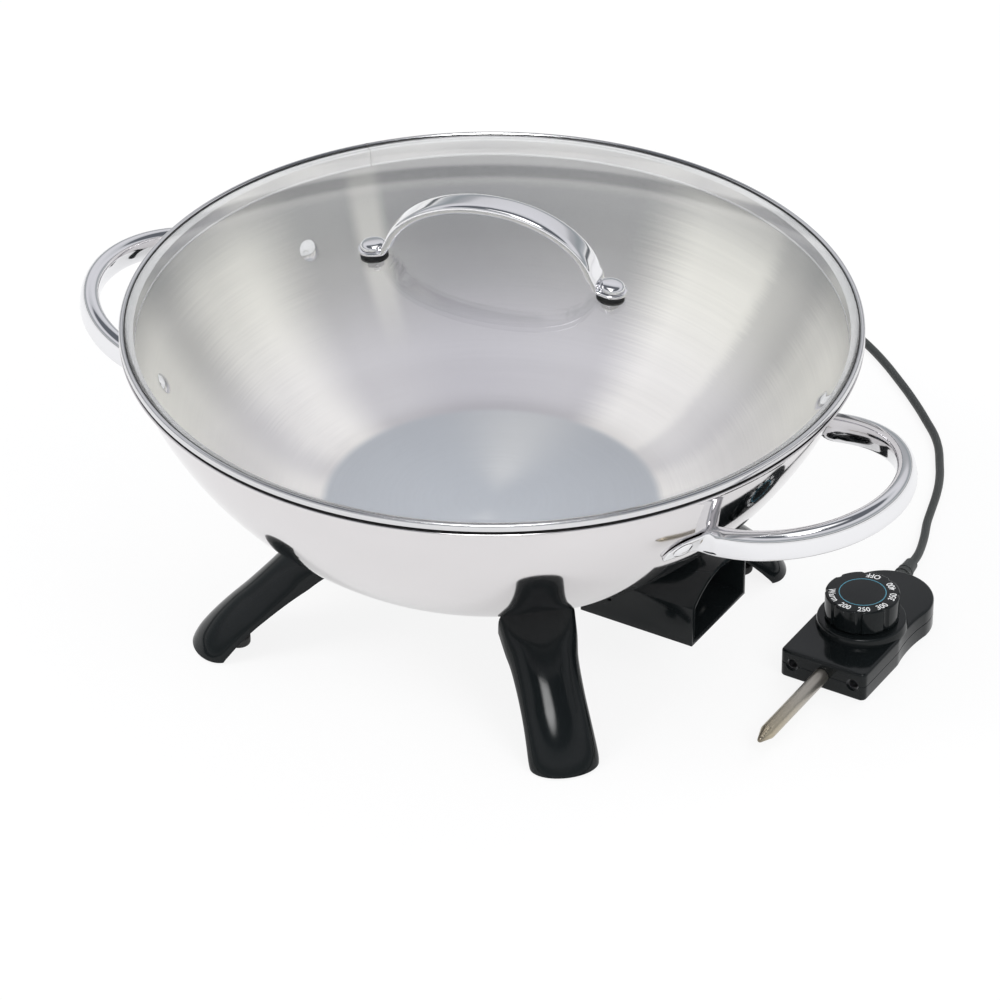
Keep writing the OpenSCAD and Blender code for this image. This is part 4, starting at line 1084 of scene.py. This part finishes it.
@dataclass
class Cover:
    """The domed glass with its steel band and strap handle, in millimetres and degrees."""

    repeater: Repeater
    dome_z: float = 200.7
    dome_r: float = 545.0
    glass_t: float = 3.5
    edge_r: float = 181.8
    seat_z: float = 166.7
    rim_z: float = 165.6
    rim_r: float = 183.1
    skirt_r: float = 175.2
    skirt_t: float = 1.2
    skirt_h: float = 7.0
    seam_a: float = 141.4
    seam_w: float = 0.5
    seam_rise: float = 0.05
    recess_w: float = 2.2
    recess_h: float = 1.7
    roll_r: float = 0.8
    top_z: float = 170.8
    top_w: float = 2.6
    top_round: float = 1.3
    fit: float = 0.2
    dome_steps: int = 40
    handle_a: float = 12.1
    stud_at: float = 61.0
    stud_low: float = -11.0
    arch_half: float = 53.0
    arch_rise: float = 35.5
    washer_t: float = 1.0
    tab_t: float = 2.0
    tab_r: float = 8.0
    strap_power: float = 4.5

    def dome(self, s: float, radius: float) -> float:
        """Height of a sphere about the dome's centre at distance s from the axis."""
        return self.dome_z - self.dome_r + math.sqrt(radius ** 2 - s ** 2)

    def dome_face(self, reach: float, radius: float) -> list[Pair]:
        """One face of the glass, from the axis out to a reach."""
        steps = [reach * i / self.dome_steps for i in range(self.dome_steps + 1)]
        return [(s, self.dome(s, radius)) for s in steps]

    def glass(self) -> None:
        """The domed glass, with an upright edge under the band."""
        inner = self.dome_r - self.glass_t
        flat_r = math.sqrt(inner ** 2 - (self.seat_z - self.dome_z + self.dome_r) ** 2)
        section = self.dome_face(self.edge_r, self.dome_r) + [(self.edge_r, self.seat_z)]
        section += reversed(self.dome_face(flat_r, inner))
        mount(seal("cover_dome", lathe(section, 200), Finish.GLASS, crease=40.0),
              "lid", "cover_glass", "lid_glass")

    def band_section(self) -> list[Pair]:
        """The band's section: a rolled lower edge, the skirt, the rest on the lip and the top."""
        low, top = self.rim_z - self.skirt_h, self.top_round
        skirt, recess = self.skirt_r + self.skirt_t, self.rim_r - self.recess_w
        over, lid = self.rim_z + self.recess_h, self.top_z - 0.7
        return (arc((self.skirt_r + 0.1, low + 0.7), self.roll_r, 200, 440, 12)
                + [(skirt, low + 1.2), (skirt, self.rim_z), (recess, self.rim_z), (recess, over),
                   (self.rim_r, over)]
                + arc((self.rim_r - top, self.top_z - top), top, 90, 230, 10)
                + [(self.rim_r - self.top_w, lid), (self.edge_r + self.fit, lid),
                   (self.edge_r + self.fit, self.seat_z), (self.skirt_r, self.seat_z)])

    def band(self) -> None:
        """The steel band, whose recess above the lip gets a dark finish as painted shade, the thin
        line where its ends meet and a thin dark ring along its inner edge.
        """
        section = rounded(self.band_section(), 0.35, 2)

        def in_painted_shade_recess(i: int) -> int:
            """1 for the faces of the recess above the lip, which get the dark rubber finish as
            painted shade of the gap under the band.
            """
            (r, z), (r2, z2) = section[i], section[(i + 1) % len(section)]
            inside = self.rim_r - self.recess_w - 0.4 < min(r, r2) <= max(r, r2) < self.rim_r - 0.2
            return int(inside and max(z, z2) < self.rim_z + self.recess_h + 0.05)

        # the recess faces take the dark rubber finish as painted shade
        mount(seal("cover_band", lathe(section, TURNED_FINE, in_painted_shade_recess), Finish.BAND, Finish.RUBBER,
                   crease=40.0), "lid", "band_steel", "lid_ring")
        line = []
        for i, (r, z) in enumerate(section):
            before, after = section[i - 1], section[(i + 1) % len(section)]
            out = Vector((after[1] - before[1], before[0] - after[0])).normalized()
            outer = z > self.rim_z + 0.2 or r < self.skirt_r + 0.3
            line.append(Vector((r, z)) + out * (self.seam_rise if outer else -self.seam_rise))
        seam = skin([[turned(self.seam_a) @ (Vector((r, y, z)) * MM) for r, z in line]
                     for y in (-self.seam_w / 2, self.seam_w / 2)])
        mount(seal("band_seam", seam, Finish.SHEATH), "lid", "band_steel")
        # a thin dark rubber ring where the band meets the glass
        at = self.rim_r - self.top_w
        over = self.dome(at, self.dome_r)
        ring = [(at + 0.3, over - 0.2), (at + 0.3, over + 0.35), (at - 0.2, over + 0.35),
                (at - 0.5, over - 0.2)]
        mount(seal("glass_seal", lathe(ring, TURNED_FINE), Finish.RUBBER), "lid", "foot_rubber")

    def strap(self) -> None:
        """The strap handle: an arch whose ends flatten into round tabs."""
        tab_z = self.dome(self.stud_at, self.dome_r) + self.washer_t + self.fit + self.tab_t / 2
        slope = self.stud_at / self.dome_r
        rows: list[list[float]] = []
        for i in range(9):
            s = self.tab_r * math.cos(math.radians(90 * i / 8))
            half_w = max(0.4, math.sqrt(max(0.0, self.tab_r ** 2 - s * s)))
            rows.append([self.stud_at + s, tab_z - s * slope, half_w, 1.0 if i else 0.7])
        rows += [[self.stud_at - 4.0, tab_z + 0.6, 7.4, 1.05],
                 [self.arch_half + 1.6, tab_z + 1.7, 7.1, 1.4],
                 [self.arch_half + 0.5, tab_z + 4.6, 7.1, 2.0]]
        for a in (math.radians(d) for d in (12, 20, 28, 36, 45, 54, 63, 72, 81, 90)):
            rows.append([self.arch_half * math.cos(a), tab_z + 0.1 + self.arch_rise * math.sin(a),
                         7.2, 2.4])
        half = rows[:9] + smooth_path(rows[8:], 4)[1:]
        stations = [(Vector((s, 0, z)), Vector((0, 1, 0)), w, t, self.strap_power) for s, z, w, t in
                    half + [[-s, *rest] for s, *rest in reversed(half[:-1])]]
        mount(seal("cover_strap", sweep(stations, turned(self.handle_a)), Finish.HANDLE,
                   crease=60.0), "lid", "handle_steel", "lid_handle")

    def studs(self) -> None:
        """The two capped studs of the handle, along the dome's normal."""
        seat = self.washer_t + self.tab_t + 0.3
        cap = rounded([(6.5, seat), (6.5, seat + 1.5), (5.2, seat + 2.7), (3.2, seat + 3.05),
                       (0.0, seat + 3.2)], 0.8, 3)[3:]
        section = [(2.4, seat), (6.5, seat), *cap, (0.0, self.stud_low), (2.4, self.stud_low)]
        places = [moved(0, 0, self.dome_z - self.dome_r) @ turned(self.handle_a)
                  @ turned(math.degrees(math.asin(s / self.dome_r)), "Y") @ moved(0, 0, self.dome_r)
                  for s in (self.stud_at, -self.stud_at)]
        mount(self.repeater.scatter("handle_caps", lathe(section, 56), places, Finish.HANDLE),
              "lid", "handle_steel", "handle_studs")

    def build(self) -> None:
        """Makes the cover's pieces."""
        self.glass()
        self.band()
        self.strap()
        self.studs()
        dress({"handle_washers": Finish.RUBBER, "handle_nuts": Finish.ZINC})


# ---------------------------------------------------------------- legs and plate

@dataclass
class Leg:
    """One arched, hollow leg with its arm under the heating plate, in millimetres.

    Each station holds the ridge's radius and height, the lower edge's, the half width, the
    hollow's share and the power of the arch, which is boxy near 0.4 and round at 1.
    """

    wall: float = 3.0
    arm_from: float = 69.0
    arm_to: float = 94.0
    arm_low: float = 36.5
    arm_high: float = 48.0
    arm_half: float = 9.0
    arm_edge: float = 1.2
    foot_r: float = 131.0
    stations: list[list[float]] = field(default_factory=lambda: [
        [88.6, 59, 88.6, 46, 19.5, 0.06, 0.45], [98, 51.8, 95, 41.5, 18.8, 0.06, 0.6],
        [102, 49, 98.5, 38.5, 18.2, 0.5, 0.7], [108, 44.5, 103, 35, 17.3, 0.68, 0.85],
        [116.5, 37.8, 109.5, 30.4, 16.8, 0.72, 0.95], [126, 30, 118.8, 23.5, 16.6, 0.72, 1.0],
        [135, 22.8, 127.6, 16.7, 16.8, 0.72, 1.0], [143, 15.6, 135, 9.8, 17.2, 0.72, 1.0],
        [149.4, 8.6, 139.5, 5, 17.5, 0.72, 1.0], [152.6, 3.8, 141.6, 2.6, 17.5, 0.72, 1.0],
        [154, 1, 142.6, 1, 17.3, 0.72, 1.0]])

    @staticmethod
    def arch(row: Sequence[float], half_w: float, rise: float, count: int = 28) -> list[Vector]:
        """One arch of a station's section, from its left lower edge to its right, in metres."""
        ridge_r, ridge_z, edge_r, edge_z = row[:4]
        made = []
        for k in range(count + 1):
            a = math.radians(90 - 180 * k / count)
            h = rise * max(0.0, math.cos(a)) ** row[6]
            made.append(Vector((edge_r + (ridge_r - edge_r) * h,
                                half_w * power_of(math.sin(a), row[6]),
                                edge_z + (ridge_z - edge_z) * h)) * MM)
        return made

    def arm(self) -> Shape:
        """The arm that the leg's screw goes through, a box with rounded edges."""
        low = Vector((self.arm_from, -self.arm_half, self.arm_low)) * MM
        size = Vector((self.arm_to, self.arm_half, self.arm_high)) * MM - low
        lump = bmesh.new()
        bmesh.ops.create_cube(lump, size=1.0)
        for vert in lump.verts:
            vert.co = low + size * (vert.co + Vector((0.5, 0.5, 0.5)))
        bmesh.ops.bevel(lump, geom=lump.edges[:], offset=self.arm_edge * MM, segments=3,
                        profile=0.5, affect="EDGES")
        return lump

    def build(self, corner: str, bearing: float) -> None:
        """Makes the leg of one corner, at its bearing in degrees."""
        shape = skin([self.arch(row, row[4], 1.0) + self.arch(row, row[4] - self.wall, row[5])[::-1]
                      for row in smooth_path(self.stations, 5)])
        add_lump(shape, self.arm())
        boss = lathe(rounded([(0, 5.1), (3.5, 5.1), (3.5, 22.0), (0, 22.0)], 0.4))
        add_lump(shape, boss, moved(self.foot_r, 0, 0))
        bmesh.ops.transform(shape, matrix=turned(bearing), verts=shape.verts)
        mount(seal(f"moulded_leg_{corner}", shape, Finish.BLACK, crease=38.0),
              "wok", "gloss_black", f"leg_{corner}")


@dataclass
class Undercarriage:
    """The legs, guard, rivets and heating plate of the bowl, in millimetres and degrees."""

    repeater: Repeater
    handles: WokHandles
    leg: Leg = field(default_factory=Leg)
    bearings: dict[str, float] = field(default_factory=lambda: {
        "front_right": -45.0, "back_right": 45.0, "back_left": 135.0, "front_left": 225.0})
    head_d: float = 11.0
    head_h: float = 1.6
    shank_r: float = 2.4
    head_out: float = 2.0
    head_in: float = 1.75

    def feet(self) -> None:
        """The rubber feet, a ring of turned pads."""
        pad = lathe(rounded([(0, 0), (6, 0), (6, 5), (0, 5)], 1.2))
        places = [turned(a) @ moved(self.leg.foot_r, 0, 0) for a in self.bearings.values()]
        mount(self.repeater.scatter("foot_pads", pad, places, Finish.RUBBER),
              "wok", "foot_rubber", "rubber_feet")

    def head(self, base: float) -> list[Pair]:
        """The outline of a low domed rivet head, from its rim to its top."""
        half = self.head_d / 2
        radius = (half ** 2 + self.head_h ** 2) / (2 * self.head_h)
        reaches = [half * math.cos(math.pi / 2 * i / 8) for i in range(9)]
        return [(r, base + self.head_h - radius + math.sqrt(max(0.0, radius ** 2 - r ** 2)))
                for r in reaches]

    def rivets(self) -> None:
        """The four handle rivets, domed outside and inside the wall."""
        bowl, z = self.handles.bowl, self.handles.rivet_z
        inner = [(r, -h) for r, h in reversed(self.head(self.head_in))]
        section = [(self.shank_r, self.head_out), *self.head(self.head_out), *inner,
                   (self.shank_r, -self.head_in)]
        lean = turned(90 + math.degrees(bowl.wall_lean(z)), "Y")
        places = [turned(bearing + s * self.handles.rivet_a) @ moved(bowl.wall_r(z), 0, z) @ lean
                  for bearing in self.handles.bearings for s in (-1, 1)]
        mount(self.repeater.scatter("wall_rivets", lathe(section), places, Finish.HANDLE),
              "wok", "handle_steel", "handle_rivets")

    def plate(self) -> None:
        """The heating plate, its lower edge sloped so that it stays behind the bowl."""
        piece = copy_of("base_plate", "heat_plate", Finish.PLATE)
        slope = lathe([(0, 40), (71, 40), (90, 59), (90, 64), (0, 64)], 160)
        cut_mesh(piece, [("INTERSECT", seal("slope", slope, Finish.PLATE))], 30.0)
        mount(piece, "wok", "cast_plate", "base_plate")

    def build(self) -> None:
        """Makes and dresses the pieces under the bowl."""
        self.plate()
        for corner, bearing in self.bearings.items():
            self.leg.build(corner, bearing)
        mount(copy_of("probe_guard", "guard_hood", Finish.BLACK, 0.0005),
              "wok", "gloss_black", "probe_guard")
        self.feet()
        self.rivets()
        dress({"heating_element": Finish.SHEATH, "terminal_pins": Finish.PINS,
               "pin_insulators": Finish.CERAMIC, "probe_socket": Finish.ZINC,
               "guard_screws": Finish.ZINC, "leg_screws": Finish.ZINC})


# ---------------------------------------------------------------- heat control

@dataclass
class Dial:
    """The scalloped dial with its figures, in millimetres and degrees."""

    x: float = 177.5
    y: float = 62.5
    low: float = 20.5
    height: float = 13.0
    radius: float = 18.75
    wall: float = 2.2
    grooves: int = 8
    groove_r: float = 2.5
    groove_depth: float = 0.9
    edge: float = 1.0
    text_r: float = 15.5
    text_h: float = 5.0
    text_narrow: float = 0.86
    print_t: float = 0.04
    circle_r: float = 11.7
    figures: dict[str, float] = field(default_factory=lambda: {
        "OFF": 97.0, "400": 49.0, "350": 14.0, "300": -24.0, "250": -60.0, "200": -97.0,
        "Warm": -140.0})

    def ring(self, inset: float, z: float, count: int = 384) -> list[Vector]:
        """One ring of the dial's skin in metres, drawn in by inset."""
        centre = self.radius + self.groove_r - self.groove_depth
        grown, step = self.groove_r + inset, 2 * math.pi / self.grooves
        made = []
        for a in (2 * math.pi * k / count for k in range(count)):
            off = (a % step) - step / 2
            reach = self.radius - inset
            if centre * abs(math.sin(off)) < grown:
                near = math.sqrt(grown ** 2 - (centre * math.sin(off)) ** 2)
                reach = min(reach, centre * math.cos(off) - near)
            made.append(Vector((self.x + reach * math.cos(a), self.y + reach * math.sin(a),
                                self.low + z)) * MM)
        return made

    def cap(self) -> None:
        """The dial's hollow cap with its hub."""
        rings = [self.ring(self.wall, self.height - 2), self.ring(self.wall, 0.0),
                 self.ring(0.25, 0.0), self.ring(0.0, 0.3)]
        shape = skin(rings + [self.ring(inset, self.height - drop)
                              for inset, drop in quarter(self.edge)])
        hub = lathe(rounded([(3.1, 0), (5.5, 0), (5.5, 11.5), (3.1, 11.5)], 0.3))
        add_lump(shape, hub, moved(self.x, self.y, self.low))
        mount(seal("dial_cap", shape, Finish.BLACK, crease=35.0),
              "dial_knob", "gloss_black", "dial")

    def word(self, text: str, bearing: float) -> bpy.types.Mesh:
        """One word bent round the dial, its letters' tops towards the centre."""
        font = bpy.data.curves.new("figure", "FONT")
        font.body = text
        font.size = self.text_h * MM
        font.align_x = font.align_y = "CENTER"
        font.extrude = self.print_t * MM
        font.offset = 0.05 * MM
        font.resolution_u = 6
        holder = add_object("figure", font)
        mesh = evaluated(holder)
        bpy.data.objects.remove(holder)
        text_r, top = self.text_r * MM, (self.low + self.height - self.print_t / 2) * MM
        for vert in mesh.vertices:
            a = math.radians(bearing) + vert.co.x * self.text_narrow / text_r
            r = text_r - vert.co.y
            vert.co = (self.x * MM + r * math.cos(a), self.y * MM + r * math.sin(a),
                       top + vert.co.z)
        return mesh

    def lettering(self) -> None:
        """The printed figures and the thin circle inside them."""
        shape = bmesh.new()
        for text, bearing in self.figures.items():
            mesh = self.word(text, bearing)
            shape.from_mesh(mesh)
            bpy.data.meshes.remove(mesh)
        mount(seal("dial_figures", shape, Finish.LETTER), "dial_knob", "gloss_black")
        line = lathe([(self.circle_r + u, self.height + v) for u, v in (
            (-0.25, -0.03), (0.25, -0.03), (0.25, 0.03), (-0.25, 0.03))], 128)
        bmesh.ops.transform(line, matrix=moved(self.x, self.y, self.low), verts=line.verts)
        mount(seal("dial_circle", line, Finish.CIRCLE), "dial_knob", "gloss_black")

    def build(self) -> None:
        """Makes the cap and its print."""
        self.cap()
        self.lettering()


@dataclass
class HeatControl:
    """The plug-in control with its housing and probe, in millimetres."""

    x: float = 177.5
    front: float = 21.0
    width: float = 47.5
    straight: float = 68.5
    part_z: float = 8.0
    top_z: float = 15.5
    wall: float = 2.0
    corner: float = 3.0
    waist_y: float = 51.5
    waist_half: float = 15.0
    waist_depth: float = 1.5
    dial_at: float = 41.5
    collar_r: float = 22.6
    collar_h: float = 4.0
    pin_pitch: float = 34.0
    hole_z: float = 8.0
    sleeve_d: float = 6.6
    probe_d: float = 6.8
    shaft_d: float = 9.2
    cord_d: float = 8.2
    cord_from: Point = (171.9, 108.7, 7.9)
    cord_way: Point = (-3.0, 22.5, -2.0)

    def outline(self, inset: float) -> list[Pair]:
        """The housing's outline from above, drawn in by inset, in the control's own frame."""
        half, r = self.width / 2, self.corner
        right = arc((half - r, r), r - inset, 0, 90, 8)
        arc_r = self.waist_half ** 2 / (2 * self.waist_depth) + self.waist_depth / 2
        for i in range(41):
            y = r + 1 + (self.straight - r - 1) * i / 40
            across = math.sqrt(max(0.0, (arc_r + inset) ** 2 - (y - self.waist_y) ** 2))
            right.append((min(half - inset, half - across + arc_r - self.waist_depth), y))
        right += arc((0, self.straight), half - inset, 90, 180, 32)[1:]
        return right + [(-u, v) for u, v in reversed(right[:-1])]

    def ring(self, inset: float, z: float) -> list[Vector]:
        """One ring of the housing's skin in metres."""
        return [Vector((self.x + u, self.front + v, z)) * MM for u, v in self.outline(inset)]

    def cutters(self, top: bool) -> list[Thing]:
        """The holes of one housing half: three in the front, the shaft's and the cord's."""
        pin = self.pin_pitch / 2
        holes = [((self.x + u, self.front - 5, self.hole_z), (0, 1, 0), d, 9.0)
                 for u, d in ((-pin, self.sleeve_d), (0, self.probe_d), (pin, self.sleeve_d))]
        holes.append((self.cord_from, self.cord_way, self.cord_d, 12.0))
        if top:
            holes.append(((self.x, self.front + self.dial_at, 7), (0, 0, 1), self.shaft_d, 16.0))
        made = []
        for place, way, diameter, length in holes:
            along, radius = Vector(way).normalized(), diameter * MM / 2
            turn = along.to_track_quat("Z", "Y").to_matrix().to_4x4()
            shape = bmesh.new()
            bmesh.ops.create_cone(shape, cap_ends=True, segments=48, radius1=radius,
                                  radius2=radius, depth=length * MM,
                                  matrix=moved(*(Vector(place) + along * length / 2)) @ turn)
            made.append(seal("cutter", shape, Finish.BLACK))
        return made

    def shell(self, side: str, rings: list[list[Vector]], flat_z: float, edge: float,
              collar: Optional[Shape] = None) -> None:
        """Makes one half of the housing and cuts its holes.

        Args:
            side: "top" or "base".
            rings: The tray's skin, from its floor round to its parting edge.
            flat_z: Height of the outer flat.
            edge: Radius of the rounded edge, less than 0 where the flat is at the bottom.
            collar: A lump to join on first.
        """
        skinned = skin(rings + [self.ring(inset * math.copysign(1, edge), flat_z - drop)
                                for inset, drop in quarter(edge)])
        piece = seal(f"housing_{side}", skinned, Finish.BLACK, crease=35.0)
        tools = [("UNION", seal("lump", collar, Finish.BLACK))] if collar else []
        tools += [("DIFFERENCE", cutter) for cutter in self.cutters(side == "top")]
        cut_mesh(piece, tools, 35.0)
        mount(piece, "heat_control", "gloss_black", f"control_{side}")

    def housing(self) -> None:
        """The lower and upper halves, with the collar under the dial."""
        t, split = self.wall, self.part_z
        self.shell("base", [self.ring(t, t), self.ring(t, split), self.ring(0.15, split),
                            self.ring(0.0, split - 0.2)], 0.0, -1.0)
        r, collar_z = self.collar_r, self.top_z + self.collar_h
        collar = lathe(rounded([(0, 14.0), (r + 0.6, 14.0), (r + 0.5, 15.6), (r - 0.4, collar_z),
                                (0, collar_z)], 1.1), 160)
        bmesh.ops.transform(collar, matrix=moved(self.x, self.front + self.dial_at, 0),
                            verts=collar.verts)
        self.shell("top", [self.ring(t, self.top_z - t), self.ring(t, split),
                           self.ring(0.25, split), self.ring(0.0, split + 0.3)],
                   self.top_z, 1.5, collar)

    def probe(self) -> None:
        """The sensing tube with its blunt cone."""
        shape = lathe(rounded([(0, 0), (3.3, 0), (3.3, 14.1), (3.9, 14.1), (3.9, 70.0), (1.2, 78.4),
                               (0.6, 79.0), (0, 79.0)], 0.7), 64)
        place = moved(self.x, self.front + 14, self.hole_z) @ turned(90, "X")
        bmesh.ops.transform(shape, matrix=place, verts=shape.verts)
        mount(seal("sensing_tube", shape, Finish.PROBE, crease=30.0),
              "heat_control", "probe_steel", "probe")

    def build(self) -> None:
        """Makes the control's pieces."""
        self.housing()
        self.probe()
        dress({"control_screws": Finish.ZINC, "thermostat_block": Finish.CERAMIC,
               "contact_blades": Finish.BRASS, "terminal_sleeves": Finish.ZINC,
               "shaft_bushing": Finish.BRASS, "dial_shaft": Finish.ZINC,
               "strain_relief": Finish.CORD, "cord_tie": Finish.RUBBER,
               "plug_body": Finish.CORD, "plug_blades": Finish.PINS})


def main() -> None:
    """Builds the stage, the lead and every sub-assembly."""
    logging.basicConfig(level=logging.INFO, format="%(message)s")
    Studio().build()
    Cord().build()
    bowl = Bowl()
    handles, repeater = WokHandles(bowl), Repeater()
    for assembly in (bowl, handles, Cover(repeater), Undercarriage(repeater, handles),
                     HeatControl(), Dial()):
        LOG.info("building %s", type(assembly).__name__)
        assembly.build()


if __name__ == "__main__":
    main()
